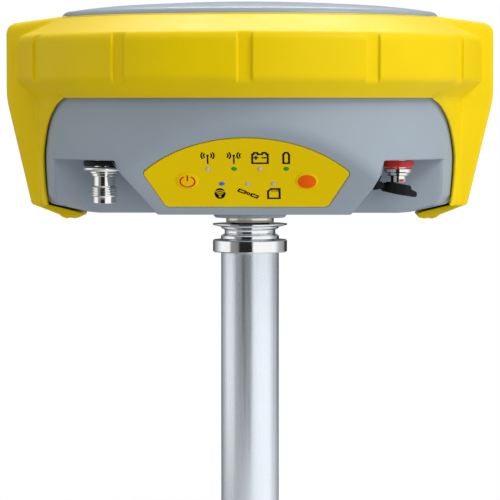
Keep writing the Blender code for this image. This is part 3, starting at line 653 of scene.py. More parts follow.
def housing_form():
    """The outer form with its rounded edges, before the holes and the chambers."""
    bowl = [(0.0, 0.0), (14.2, 0.0), (15.0, 0.8), (15.0, 3.0), (68.0, 3.0)]
    flank = [(68.0, 3.0), (82.0, 6.2), (84.4, 9.5), (85.6, 48.5)]
    bowl += rounded(flank, [0.0, 3.0, 3.5, 0.0], 5, closed=False)[1:]
    bowl += [(85.6, 54.0), (0.0, 54.0)]
    housing = place("housing", lathe_mesh(bowl, 180), "grey")
    console = [(-105.1, 60.0), (-42.06, -10.0), (-130.0, -10.0), (-130.0, 60.0)]
    back = [(86.9, 48.9), (72.0, 38.0), (72.0, -5.0), (100.0, -5.0), (100.0, 48.9)]
    combine(housing, "DIFFERENCE", [prism_mesh(side, "X", *ACROSS) for side in (console, back)])
    work = to_work(housing)
    bmesh.ops.dissolve_limit(work, angle_limit=math.radians(0.3), verts=work.verts, edges=work.edges)
    work.normal_update()
    brow = [
        edge for edge in work.edges
        if len(edge.link_faces) == 2 and {on_console(f) for f in edge.link_faces} == {True, False}
        and any(on_wall(f) for f in edge.link_faces) and min(vert.co.z for vert in edge.verts) > BROW_END
    ]
    bmesh.ops.bevel(
        work, geom=brow, offset=3.2, segments=8, profile=0.5, affect="EDGES", clamp_overlap=False,
    )
    housing = remake(housing, work)
    left = [(-51.4, CEILING), (-49.7, 20.4), (-28.6, -5.0), (-110.0, -5.0), (-110.0, CEILING)]
    right = [(53.4, CEILING), (52.6, 19.6), (49.3, 13.8), (34.5, -5.0), (110.0, -5.0), (110.0, CEILING)]
    left = rounded(left, [0.8, 6.0, 0.0, 0.0, 0.0], 5)
    right = rounded(right, [0.8, 6.0, 6.0, 0.0, 0.0, 0.0], 5)
    recesses = [prism_mesh(outline, "Y", -130.0, RECESS_BACK) for outline in (left, right)]
    corner = arc((76.3, RECESS_BACK + 3.0), 3.0, -90.0, -21.5, 10)
    corner += [(85.9, RECESS_BACK - 0.7), (85.9, RECESS_BACK - 3.0), (76.3, RECESS_BACK - 3.0)]
    for side in (-1, 1):
        recesses.append(prism_mesh([(side * x, y) for x, y in corner], "Z", -5.0, CEILING))
    recesses.append(disc_mesh(PORT_ROOM, -1.0, CEILING, 64, PORT.xy))
    return combine(housing, "DIFFERENCE", recesses)


def remake(piece, work, split=True):
    """Gives a piece a new mesh from a bmesh in the receiver's frame, in triangles for the Booleans."""
    bmesh.ops.remove_doubles(work, verts=work.verts, dist=MERGE)
    bmesh.ops.recalc_face_normals(work, faces=work.faces)
    if split:
        bmesh.ops.triangulate(work, faces=work.faces)
    bmesh.ops.transform(work, matrix=RECEIVER, verts=work.verts)
    mesh = bpy.data.meshes.new(piece.name)
    work.to_mesh(mesh)
    work.free()
    for material in piece.data.materials:
        mesh.materials.append(material)
    piece.data = mesh
    return piece


def soften(piece, width, segments=3, weigh=None, angle=30.0):
    """Rounds edges: all the sharp ones, or those that weigh() gives a share of the width."""
    modifier = piece.modifiers.new("Bevel", "BEVEL")
    modifier.width = width * MM
    modifier.segments = segments
    modifier.use_clamp_overlap = weigh is None
    modifier.miter_outer = "MITER_ARC"
    if weigh is None:
        modifier.limit_method = "ANGLE"
        modifier.angle_limit = math.radians(angle)
    else:
        modifier.limit_method = "WEIGHT"
        work = to_work(piece)
        work.normal_update()
        work.edges.ensure_lookup_table()
        weights = [weigh(edge) if len(edge.link_faces) == 2 else 0.0 for edge in work.edges]
        work.free()
        attribute = piece.data.attributes.new("bevel_weight_edge", "FLOAT", "EDGE")
        attribute.data.foreach_set("value", weights)
    piece.data = evaluated_mesh(piece)
    piece.modifiers.clear()
    return remake(piece, to_work(piece))


def clean(piece, smooth_angle=30.0):
    """Joins flat neighbours into one face, and shades what is left smooth up to an angle."""
    work = to_work(piece)
    bmesh.ops.dissolve_limit(work, angle_limit=math.radians(0.2), verts=work.verts, edges=work.edges)
    remake(piece, work, split=False)
    piece.data.shade_smooth()
    piece.data.set_sharp_from_angle(angle=math.radians(smooth_angle))
    return piece


def in_recess(face):
    """Whether a face is the ceiling, the slanted side or the back wall of a connector recess."""
    middle = face.calc_center_median()
    behind = middle.y - RECESS_BACK
    if abs(face.normal.z) < 0.01 and abs(middle.x) > 76.2 and -0.1 < behind < 2.1:
        return middle.xy.length < 84.3
    if face.normal.y < -0.999:
        return abs(behind) < 0.05 and abs(middle.x) > 30.0
    return abs(face.normal.y) < 0.005 and face.normal.z < -0.3 and middle.z > 3.3 and behind < 0.0


def recess_weight(edge):
    """The recess's outward edges are crisp but not sharp."""
    first, second = edge.link_faces
    outward = edge.is_convex and edge.calc_face_angle() > math.radians(30.0)
    return 1.0 if outward and in_recess(first) != in_recess(second) else 0.0


def panel_outline(grow, corner=2.5, steps=48):
    """The keypad panel's outline, grown all round: a straight base, two sides and a top arc."""
    side = (Vector(PANEL_TIP) - Vector((PANEL_HALF_BASE, 0.0))).normalized()
    outward = Vector((side.y, -side.x))
    foot = Vector((PANEL_HALF_BASE, 0.0)) + outward * grow
    base = foot + side * (-grow - foot.y) / side.y
    radius = PANEL_ARC + grow
    to_foot = foot - Vector((0.0, PANEL_ARC_CENTRE))
    along = to_foot.dot(side)
    tip = foot + side * (math.sqrt(along**2 + radius**2 - to_foot.length_squared) - along)
    start = math.degrees(math.atan2(tip.y - PANEL_ARC_CENTRE, tip.x))
    margin = math.degrees(corner / radius)
    top = arc((0.0, PANEL_ARC_CENTRE), radius, start, 180.0 - start, steps)

    def is_clear(point):
        """Whether a point of the arc lies clear of both corners' rounding."""
        at = math.degrees(math.atan2(point[1] - PANEL_ARC_CENTRE, point[0]))
        return start + margin < at < 180.0 - start - margin

    kept = [point for point in top[1:-1] if is_clear(point)]
    outline = [(-base.x, base.y), (base.x, base.y), top[0], *kept, top[-1]]
    round_by = corner + grow
    return rounded(outline, [round_by, round_by, round_by] + [0.0] * len(kept) + [round_by], 8)


def on_panel(work):
    """Moves a bmesh from the panel's frame to the receiver's."""
    bmesh.ops.transform(work, matrix=PANEL_LOCAL, verts=work.verts)
    return work


def disc_mesh(radius, low, high, segments=48, centre=(0.0, 0.0)):
    return lathe_mesh([(0.0, low), (radius, low), (radius, high), (0.0, high)], segments, centre)


def box_mesh(x, y, z):
    return prism_mesh(rectangle(*x, *y), "Z", *z)


def along_x(radius, low, high, segments=32):
    """A round bar along X on the door hinge's axis."""
    work = disc_mesh(radius, low, high, segments)
    turn = Matrix.Translation((0.0, HINGE.y, HINGE.z)) @ Matrix.Rotation(math.pi / 2, 4, "Y")
    bmesh.ops.transform(work, matrix=turn, verts=work.verts)
    return work


def hinge_lug(low, high):
    """A lug for the door's pin. It runs back under the housing's rim."""
    root = 64.0
    nose = arc((HINGE.y, HINGE.z), BARREL_RADIUS, -90.0, 90.0, 16)
    outline = [(root, HINGE.z - BARREL_RADIUS), *nose, (root, HINGE.z + BARREL_RADIUS)]
    return prism_mesh(outline, "X", low, high)


def build_housing():
    housing = soften(clean(housing_form()), 0.65, 3, recess_weight)

    upper = place("upper_chamber", disc_mesh(82.8, 28.0, 60.0, 96), "grey")
    front = [(-65.7, 20.0), (-83.7, 40.0), (-100.0, 58.0), (-100.0, 20.0)]
    rear = [(69.5, 20.0), (69.5, 39.3), (84.0, 49.9), (100.0, 49.9), (100.0, 20.0)]
    walls = [prism_mesh(wall, "X", *ACROSS) for wall in (front, rear)]
    combine(upper, "DIFFERENCE", [*walls, box_mesh((-40.0, 40.0), (28.0, 75.0), (27.0, 31.8))])
    chamber = to_work(upper)
    bpy.data.objects.remove(upper, do_unlink=True)
    lower = prism_mesh([(-53.1, 6.0), (-73.7, 28.9), (26.0, 28.9), (26.0, 6.0)], "X", -34.0, 34.0)
    sides = [box_mesh(x, (-30.3, 30.3), (8.5, 28.5)) for x in ((40.0, 74.0), (-74.0, -40.0))]
    bay = box_mesh((-37.5, 37.5), (30.0, 90.0), (6.5, 29.5))
    combine(housing, "DIFFERENCE", [chamber, lower, *sides, bay])

    columns = [disc_mesh(15.0, 1.0, 24.0)]
    columns += [disc_mesh(4.2, 8.0, 22.0, 24, spot.xy) for spot in SCREWS]
    combine(housing, "UNION", [*columns, hinge_lug(28.3, 34.0), hinge_lug(-34.0, -28.3)])

    cutters = [disc_mesh(10.1, -1.0, 20.4)]
    for spot in SCREWS:
        cutters += [disc_mesh(1.7, 0.0, 18.5, 16, spot.xy), disc_mesh(2.9, 0.0, 5.2, 32, spot.xy)]
    cutters += [disc_mesh(4.6, 20.0, 30.0, 32, PORT.xy), disc_mesh(3.8, 20.0, 30.0, 32, SOCKET.xy)]
    cutters.append(on_strap(disc_mesh(1.25, -4.05, 1.0, 24)))
    cutters += [along_x(PIN_HOLE, 28.0, 32.5), along_x(PIN_HOLE, -32.5, -28.0)]
    # The panel's pocket has a narrow slope round its rim, which catches the light.
    cutters.append(on_panel(prism_mesh(panel_outline(0.22), "Z", -1.0, 4.0)))
    rim = [at_level(panel_outline(grow), level) for grow, level in ((0.1, -0.5), (0.85, 0.25), (0.85, 2.0))]
    cutters.append(on_panel(loft_mesh(rim)))
    for x in BUTTONS.values():
        cutters.append(on_panel(disc_mesh(5.1, -1.6, 1.0, 48, (x, BUTTON_T))))
        cutters.append(on_panel(disc_mesh(3.2, -6.0, 1.0, 32, (x, BUTTON_T))))
    cutters += [on_panel(disc_mesh(1.25, -6.0, 1.0, 20, spot)) for spot in LAMPS]
    return clean(combine(housing, "DIFFERENCE", cutters))


# ---------------------------------------------------------------- the keypad

PANEL_TOP = 0.06
INK_LEVELS = (0.02, 0.11)
CAP_TOP = 0.52


def build_panel():
    steps = ((0.0, -0.7), (0.0, -0.1), (-0.16, PANEL_TOP))
    edge = [at_level(panel_outline(grow), level) for grow, level in steps]
    panel = place("panel", loft_mesh(edge), "panel", smooth_angle=50.0)
    remake(panel, on_panel(to_work(panel)))
    holes = [on_panel(disc_mesh(4.62, -2.0, 2.0, 64, (x, BUTTON_T))) for x in BUTTONS.values()]
    holes += [on_panel(disc_mesh(1.1, -2.0, 2.0, 24, spot)) for spot in LAMPS]
    return clean(combine(panel, "DIFFERENCE", holes), 40.0)


def build_lamps():
    dome = arc((0.0, -0.35), 1.05, 0.0, 90.0, 8)
    dome = [(0.0, -3.9), (1.0, -3.9), (1.0, -0.3)] + [(min(r, 1.0), z * 0.55 + 0.1) for r, z in dome[2:-1]]
    dome += [(0.0, 0.1 + 0.7 * 0.55)]
    lit = {2: "lamp_green", 4: "lamp_green", 5: "lamp_blue"}
    lamps = []
    for number, spot in enumerate(LAMPS, 1):
        work = lathe_mesh(dome, 28, spot)
        lamps.append(place(f"lamp_{number}", work, lit.get(number, "lamp_off"), PANEL, 60.0))
    return lamps


def button_cap(name, x):
    """A raised film key: flat on top, rounded down to the panel, on a stem."""
    profile = [(0.0, -3.7), (2.6, -3.7), (2.6, -0.6), (4.6, -0.6), (4.6, 0.02), (4.45, 0.12)]
    profile += [(4.1, 0.34), (3.75, 0.48), (3.4, CAP_TOP)]
    return place(name, lathe_mesh(profile + [(0.0, CAP_TOP)], 64, (x, BUTTON_T)), "panel", PANEL, 40.0)


def band(centre, radius, width, start, end, steps=20):
    """The outline of a curved stroke."""
    outer = arc(centre, radius + width / 2, start, end, steps)
    return outer + arc(centre, radius - width / 2, end, start, steps)


def icon(name, shapes, paint="ink", levels=INK_LEVELS):
    """A printed sign from outlines, which may overlap."""
    work = bmesh.new()
    for outline in shapes:
        add_solid(work, prism_rings(outline, "Z", *levels))
    return place(name, work, paint, PANEL, 20.0)


def line(points, width=0.62, closed=False):
    """The outlines of a bent line's straight strokes."""
    pairs = list(zip(points, points[1:] + points[:1])) if closed else list(zip(points, points[1:]))
    outlines = []
    for start, end in pairs:
        along = (Vector(end) - Vector(start)).normalized() * width / 2
        across = Vector((-along.y, along.x))
        start = Vector(start) - along
        end = Vector(end) + along
        outlines.append([start - across, end - across, end + across, start + across])
    return outlines


def moved(outlines, x, t, turn=0.0):
    spin = Matrix.Rotation(turn, 2)
    return [[tuple(spin @ Vector(point) + Vector((x, t))) for point in outline] for outline in outlines]


UPPER_ROW = 26.3
LOWER_ROW = 7.3


def build_icons():
    signs = {}
    ball = [arc((0.0, 1.2), 0.5, 0.0, 330.0, 11)]
    mast = ball + line([(0.0, 1.2), (0.0, -2.8)])
    out, inward = list(mast), list(mast)
    for radius in (1.55, 2.5):
        for facing in (0.0, 180.0):
            out.append(band((0.0, 1.2), radius, 0.6, facing - 43.0, facing + 43.0))
            centre = (3.75 * (1 if facing else -1), 1.2)
            inward.append(band(centre, radius, 0.6, facing - 43.0, facing + 43.0))
    signs["sending_sign"] = moved(out, LAMPS[0][0], UPPER_ROW)
    signs["receiving_sign"] = moved(inward, LAMPS[1][0], UPPER_ROW)

    case = [(-3.0, -2.8), (3.0, -2.8), (3.0, 1.9), (2.5, 1.9), (2.2, 2.7), (1.1, 2.7), (0.8, 1.9)]
    case += [(-0.8, 1.9), (-1.1, 2.7), (-2.2, 2.7), (-2.5, 1.9), (-3.0, 1.9)]
    marks = line([(-2.2, 0.1), (-0.9, 0.1)]) + line([(-1.55, -0.7), (-1.55, 0.9)])
    marks += line([(0.9, 0.1), (2.2, 0.1)])
    signs["supply_sign"] = moved(line(case, 0.78, True) + marks, LAMPS[2][0], UPPER_ROW)
    cell = [(-1.1, -2.8), (1.1, -2.8), (1.1, 1.7), (0.5, 2.75), (-0.5, 2.75), (-1.1, 1.7)]
    signs["cell_sign"] = moved(line(cell, 0.78, True), LAMPS[3][0], UPPER_ROW)

    disc = [(2.15 * math.cos(a), 2.85 * math.sin(a)) for a in np.radians(np.arange(0, 360, 10))]
    wireless = LAMPS[4][0] - 0.8
    signs["wireless_disc"] = moved([disc], wireless, LOWER_ROW)
    wing = rectangle(1.35, 4.1, -0.62, 0.62)
    other = [(-x, y) for x, y in wing]
    craft = line(wing, 0.6, True) + line(other, 0.6, True)
    craft += line([(0.5, -0.45), (0.5, 0.45), (-0.5, 0.45), (-0.5, -0.45)], 0.45, True)
    craft += line([(0.5, 0.0), (1.35, 0.0)], 0.38) + line([(-0.5, 0.0), (-1.35, 0.0)], 0.38)
    signs["satellite_sign"] = moved(craft, LAMPS[5][0], LOWER_ROW, math.radians(-27.0))
    card = [(-2.25, -2.55), (2.25, -2.55), (2.25, 2.55), (-1.0, 2.55), (-2.25, 1.3)]
    pins = [piece for x in (-0.7, 0.1, 0.9, 1.6) for piece in line([(x, 1.15), (x, 2.0)], 0.34)]
    signs["card_sign"] = moved(line(card, 0.78, True) + pins, LAMPS[6][0], LOWER_ROW)

    pieces = [icon(name, shapes) for name, shapes in signs.items()]
    waves = [band((0.0, -1.5), radius, 0.44, 52.0, 128.0, 10) for radius in (1.15, 2.1, 3.05)]
    waves.append(arc((0.0, -1.5), 0.45, 0.0, 330.0, 11))
    pieces.append(icon("wireless_waves", moved(waves, wireless, LOWER_ROW), "panel", (0.03, 0.15)))
    return pieces


def build_power_sign():
    shapes = [band((0.0, 0.0), 2.85, 0.62, 118.0, 422.0, 48)] + line([(0.0, 0.6), (0.0, 3.0)], 0.66)
    shapes = moved(shapes, BUTTONS["power"], BUTTON_T)
    return icon("power_sign", shapes, "red_ink", (CAP_TOP - 0.1, CAP_TOP + 0.05))


def build_function_disc():
    profile = [(0.0, CAP_TOP - 0.15), (3.6, CAP_TOP - 0.15), (3.6, CAP_TOP + 0.02), (3.5, CAP_TOP + 0.08)]
    profile += [(0.0, CAP_TOP + 0.1)]
    work = lathe_mesh(profile, 64, (BUTTONS["function"], BUTTON_T))
    return place("function_disc", work, "orange", PANEL)


# ---------------------------------------------------------------- the connectors


def ridges(low, high, crest, root, pitch):
    """A profile of round thread ridges, from the top down."""
    profile = []
    for i in range(round((high - low) / pitch)):
        top = high - i * pitch
        profile += [(root, top), (crest, top - 0.3 * pitch)]
        profile += [(crest, top - 0.62 * pitch), (root, top - 0.92 * pitch)]
    return profile


def build_port():
    washer = rectangle(4.6, 8.2, 22.1, 24.2)
    washer = lathe("port_gasket", washer, "rubber", PORT.xy, 64, 0.3)
    flange = [(4.3, 21.8), (7.2, 21.75), *arc((7.8, 20.9), 0.8, 80.0, -80.0, 10)]
    flange += [(6.2, 19.95), (6.0, 19.8), (6.0, 19.3), (5.8, 19.1), (5.1, 19.0)]
    flange += [(5.1, 18.2), (4.9, 18.0), (4.35, 18.0), (4.35, 14.2), (4.6, 13.9)]
    thread = ridges(9.9, 13.9, 5.3, 4.75, 1.0)
    end = [(4.7, 9.7), (4.7, 7.5), (4.5, 7.3), (3.6, 7.3), (3.4, 7.5), (3.4, 12.5), (0.0, 12.5)]
    body = [(0.0, 32.0), (4.3, 32.0)] + flange + thread + end
    body = lathe("port_barrel", body, "plated", PORT.xy, 96, 0.0, 28.0)
    insulator = lathe("port_core", rectangle(0.9, 2.2, 8.6, 12.2), "white", PORT.xy, 40, 0.2)
    pin = [(0.0, 8.0), (0.35, 8.0), (0.6, 8.4), (0.6, 12.2), (0.0, 12.2)]
    pin = lathe("port_contact", pin, "brass", PORT.xy, 24)
    return washer, body, insulator, pin


def build_socket():
    ring = [(3.8, 24.2), (6.25, 24.2), (6.25, 22.1), (5.9, 21.7), (5.5, 21.5), (3.8, 21.5)]
    ring = lathe("coloured_ring", ring, "red", SOCKET.xy, 96, 0.15)
    body = [(0.0, 32.0), (3.5, 32.0), (3.5, 21.2), (5.2, 21.2), (5.6, 20.8), (5.6, 19.7), (5.2, 19.3)]
    body += [(4.3, 19.3), (4.3, 18.4), (4.1, 18.2)]
    body += [(3.1, 18.2), (3.1, 15.7), (3.0, 15.6), (2.1, 15.6), (2.0, 15.7), (2.0, 18.6), (0.0, 18.6)]
    body = lathe("socket_barrel", body, "plated", SOCKET.xy, 96, 0.0, 28.0)
    core = [(0.0, 16.3), (1.5, 16.3), (1.7, 16.5), (1.7, 18.3), (0.0, 18.3)]
    core = lathe("socket_core", core, "black", SOCKET.xy, 32)
    mark = prism_mesh(band((SOCKET.x, SOCKET.y), 3.1, 0.5, -84.0, -50.0, 8), "Z", 15.85, 16.9)
    return ring, body, core, place("socket_mark", mark, "red")


def on_strap(work):
    """Moves a bmesh from the strap's frame, with Z out of the recess's slanted side, to the receiver's."""
    bmesh.ops.transform(work, matrix=STRAP_LOCAL, verts=work.verts)
    return work


def build_strap():
    """The rubber plate on the recess's side, with two ears that hold the cap's tail."""
    outline = rounded(rectangle(-1.6, 4.6, -3.7, 3.7), [1.0, 0.2, 0.2, 1.0], 5)
    strap = place("strap", on_strap(prism_mesh(outline, "Z", 0.05, 1.1)), "rubber")
    ear = [(50.6, 15.0), (49.4, 12.9), (50.3, 12.6), *arc(CAP_PIVOT.xz, 1.3, -70.0, 80.0, 12), (51.5, 16.6)]
    ends = [sorted((SOCKET.y + side * 2.6, SOCKET.y + side * 3.7)) for side in (-1, 1)]
    ears = [prism_mesh(ear, "Y", *pair) for pair in ends]
    combine(strap, "UNION", [*ears, on_strap(disc_mesh(1.2, -4.0, 0.7, 24))])
    return clean(soften(clean(strap), 0.2, 2))


def build_cap():
    """The rubber dust cap, made level and then turned down about its pivot."""
    y = SOCKET.y
    side = [(52.1, 13.4), (53.6, 12.3), (60.1, 12.1), (66.7, 12.2), (67.4, 12.9), (67.0, 14.3), (64.8, 14.9)]
    side += [(64.3, 16.3), (55.0, 16.3), (52.2, 15.0)]
    side = rounded(side, [0.6, 0.8, 2.0, 0.7, 0.6, 0.7, 0.5, 0.6, 0.8, 0.6], 5)
    half = [(51.1, 2.2), (54.3, 2.3), (56.5, 5.0), (58.6, 5.7), (62.6, 5.7), (65.6, 4.2), (67.7, 1.5)]
    plan = [(a, y - b) for a, b in half] + [(a, y + b) for a, b in reversed(half)]
    plan = rounded(plan, [0.2, 1.5, 2.0, 3.0, 3.0, 2.5, 1.2, 1.2, 2.5, 3.0, 3.0, 2.0, 1.5, 0.2], 5)
    cap = place("cap", prism_mesh(side, "Y", y - 7.0, y + 7.0), "rubber")
    combine(cap, "INTERSECT", [prism_mesh(plan, "Z", 10.0, 20.0)])
    cup = disc_mesh(3.9, 14.6, 17.0, 48, SOCKET.xy)
    dimple = disc_mesh(3.2, 11.0, 12.5, 48, SOCKET.xy)
    combine(cap, "DIFFERENCE", [cup, dimple])
    clean(soften(clean(cap), 0.35, 3))
    pivot = Matrix.Translation(CAP_PIVOT)
    swing = pivot @ Matrix.Rotation(CAP_OPEN, 4, "Y") @ pivot.inverted()
    work = to_work(cap)
    bmesh.ops.transform(work, matrix=swing, verts=work.verts)
    return clean(remake(cap, work))


# ---------------------------------------------------------------- the battery bay

DOOR_INSIDE = 72.3
LATCH_PROUD = 0.6  # how far the latch stands out of the door
BETWEEN_LUGS = (-28.0, 28.0)


def build_door():
    low, high = local_box("battery_door")
    foot = HINGE.z + 2.2
    outer = local_box("door_latch")[1].y - LATCH_PROUD
    outline = rounded(rectangle(low.x, high.x, foot, high.z), [1.0, 1.0, 4.0, 4.0], 8)
    door = place("door", prism_mesh(outline, "Y", DOOR_INSIDE, outer), "grey")
    soften(door, 0.6, 3)
    combine(door, "UNION", [
        box_mesh(BETWEEN_LUGS, (HINGE.y - 1.3, outer - 0.1), (HINGE.z, foot + 1.0)),
        along_x(BARREL_RADIUS, *BETWEEN_LUGS),
    ])
    slot = rounded(rectangle(-8.3, 14.3, 25.6, 32.4), 1.0, 4)
    cutters = [prism_mesh(slot, "Y", outer - 1.2, 80.0), along_x(PIN_HOLE, -30.0, 30.0)]
    # Shallow grooves across the door's lower half are a finger grip.
    for level in (11.0, 14.0, 17.0):
        groove = rounded(rectangle(-22.0, 22.0, level, level + 1.2), 0.55, 4)
        cutters.append(prism_mesh(groove, "Y", outer - 0.5, 80.0))
    return clean(combine(door, "DIFFERENCE", cutters))


def build_latch():
    low, high = local_box("door_latch")
    outline = rounded(rectangle(low.x, high.x, low.z, high.z), 0.9, 4)
    latch = place("latch", prism_mesh(outline, "Y", low.y, high.y - 0.25), "black")
    soften(latch, 0.2, 2)
    ribs = []
    for x in (-5.0, -2.5, 0.0, 2.5, 5.0):
        ribs.append(box_mesh((x - 0.4, x + 0.4), (high.y - 0.6, high.y), (low.z + 1.0, high.z - 1.0)))
    return clean(combine(latch, "UNION", ribs))


def build_battery():
    low, high = local_box("battery")
    battery = place("battery_pack", box_mesh((low.x, high.x), (low.y, high.y), (low.z, high.z)), "black")
    soften(battery, 1.6, 4)
    label = rounded(rectangle(-24.0, 24.0, 11.0, 25.0), 1.5, 4)
    grips = [prism_mesh(label, "Y", high.y - 0.3, high.y + 1.0)]
    for x in (-31.5, -29.0, 29.0, 31.5):
        grips.append(box_mesh((x - 0.5, x + 0.5), (high.y - 0.5, high.y + 1.0), (11.0, 25.0)))
    return clean(combine(battery, "DIFFERENCE", grips))


def build_contacts():
    low, high = local_box("battery_contacts")
    block = place("contact_block", box_mesh((low.x, high.x), (low.y, high.y - 0.4), (low.z, high.z)), "black")
    soften(block, 0.3, 2)
    work = bmesh.new()
    for x in (-10.0, -5.0, 0.0, 5.0, 10.0):
        outline = rounded(rectangle(x - 1.2, x + 1.2, 14.0, 22.0), 1.1, 5)
        add_solid(work, prism_rings(outline, "Y", high.y - 0.5, high.y))
    return block, place("contact_pads", work, "brass")


def build_screw(number, spot):
    """A domed screw with a cross slot in its head, which faces down."""
    profile = [(0.0, 3.4), (1.7, 3.4), (2.35, 3.75), (2.6, 4.3), (2.6, 4.9)]
    profile += [(1.4, 4.9), (1.4, 17.7), (1.1, 18.0), (0.0, 18.0)]
    screw = place(f"screw_{number}", lathe_mesh(profile, 40, spot.xy), "turned")
    slots = []
    for a, b in ((1.5, 0.3), (0.3, 1.5)):
        slots.append(box_mesh((spot.x - a, spot.x + a), (spot.y - b, spot.y + b), (3.0, 4.3)))
    return clean(combine(screw, "DIFFERENCE", slots))


# ---------------------------------------------------------------- the pole


def build_pole():
    floor = -BOSS / MM
    foot = [(7.9, 0.0), (12.9, 0.0), (13.5, 0.6), (13.5, 3.5), (13.2, 3.95), (9.9, 4.0)]
    foot += [(9.9, 26.0), (0.0, 26.0), (0.0, 22.0), (7.9, 22.0)]
    foot += ridges(1.0, 21.0, 7.9, 8.6, 2.31) + [(7.9, 0.8)]
    foot = lathe("foot", [(r, z + floor) for r, z in foot], "turned", segments=96)
    low = floor + 4.3
    top = local_box("pole_tube")[1].z
    tube = [(11.9, low), (11.9, top), (10.2, top), (10.2, low)]
    tube = lathe("tube", tube, "tube", segments=160, radius=0.15)
    collar = [(12.2, -14.2), (14.8, -14.2), (15.25, -13.75), (15.25, -9.5), (14.85, -9.1), (12.2, -9.1)]
    collar = lathe("collar", collar, "turned", segments=160)
    stub = [(0.0, -30.0), (9.5, -30.0), (9.9, -29.6), (9.9, -8.8), (11.75, -8.8), (11.95, -8.6)]
    stub += [(11.95, -7.6), (11.75, -7.35), (11.0, -6.95), (10.45, -6.6), (10.4, -6.4), (10.4, -5.4)]
    stub += [(10.5, -5.1), (11.6, -4.5), (11.8, -4.3), (11.8, -3.95), (15.1, -3.1)]
    stub += [(15.3, -2.95), (15.3, -2.6), (15.2, -2.5), (7.9, -2.5)]
    stub += ridges(-1.0, 16.5, 7.9, 7.3, 2.31)[::-1] + [(7.3, 17.0), (6.9, 18.0), (0.0, 18.0)]
    stub = lathe("stub", stub, "turned", segments=160)
    return foot, tube, collar, stub


# ---------------------------------------------------------------- putting it together


def show(pieces, body, nodes):
    """Ties pieces to a CAD body, and has them stand for CAD nodes."""
    for piece in pieces if isinstance(pieces, (list, tuple)) else [pieces]:
        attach(piece, body)
        if nodes:
            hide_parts(*nodes)


def build_receiver():
    show([build_shell(), foot_tab(1), foot_tab(-1)], "receiver", ["bumper_shell"])
    show(build_dome(), "receiver", ["radome"])
    show(build_housing(), "receiver", ["lower_housing"])
    show(build_panel(), "receiver", ["keypad_panel"])
    for number, lens in enumerate(build_lamps(), 1):
        show(lens, "receiver", [f"lamp_lens_{number}"])
    show(build_icons(), "receiver", [])
    washer, body, insulator, pin = build_port()
    show(washer, "receiver", ["port_washer"])
    show(body, "receiver", ["port_body"])
    show(insulator, "receiver", ["port_insulator"])
    show(pin, "receiver", ["port_pin"])
    ring, body, core, mark = build_socket()
    show(ring, "receiver", ["socket_ring"])
    show(body, "receiver", ["socket_body"])
    show(core, "receiver", ["socket_insert"])
    show(mark, "receiver", [])
    show(build_strap(), "receiver", ["cap_strap"])
    block, pads = build_contacts()
    show(block, "receiver", ["battery_contacts"])
    show(pads, "receiver", ["battery_contacts"])
    hinge_pin = place("pin", along_x(0.8, -32.0, 32.0, 24), "turned")
    show(hinge_pin, "receiver", ["door_hinge_pin"])
    insert = lathe("insert", rectangle(8.2, 9.8, -2.2, 20.0), "brass", segments=96, radius=0.3)
    show(insert, "receiver", ["thread_insert"])
    for number, spot in enumerate(SCREWS, 1):
        show(build_screw(number, spot), "receiver", [f"housing_screw_{number}"])


def build_moving():
    power_key = button_cap("power_key", BUTTONS["power"])
    show(power_key, "power_button", ["power_button"])
    show(build_power_sign(), "power_button", [])
    function_key = button_cap("function_key", BUTTONS["function"])
    show(function_key, "function_button", ["function_button"])
    show(build_function_disc(), "function_button", ["function_button"])
    show(build_cap(), "dust_cap", ["dust_cap"])
    show(build_door(), "battery_door", ["battery_door"])
    show(build_latch(), "door_latch", ["door_latch"])
    show(build_battery(), "battery", ["battery"])


def paint_cad():
    """Gives every CAD node a procedural finish, shown or not."""
    paints = {
        "yellow_shell": "yellow", "panel_yellow": "panel", "grey_housing": "grey", "radome_grey": "radome",
        "steel": "turned", "tube": "tube", "port_metal": "plated", "brass": "brass", "rubber": "rubber",
        "black_plastic": "black", "red_plastic": "red", "orange_plastic": "orange", "lamp": "lamp_off",
        "white_plastic": "white", "board": "board", "tinned_metal": "tinned",
    }
    for part in frame["record"]["subparts"]:
        mesh = frame["nodes"][part["node"]].data
        mesh.materials.clear()
        mesh.materials.append(PAINTS[paints[part["material_slot"]]])


# ---------------------------------------------------------------- studio


def fill_ramp(ramp, stops):
    """Gives a new colour ramp its grey stops, which run from 0 to 1."""
    ramp.elements[0].color = (*[stops[0][1]] * 3, 1.0)
    ramp.elements[1].color = (*[stops[-1][1]] * 3, 1.0)
    for position, level in stops[1:-1]:
        ramp.elements.new(position).color = (level, level, level, 1.0)


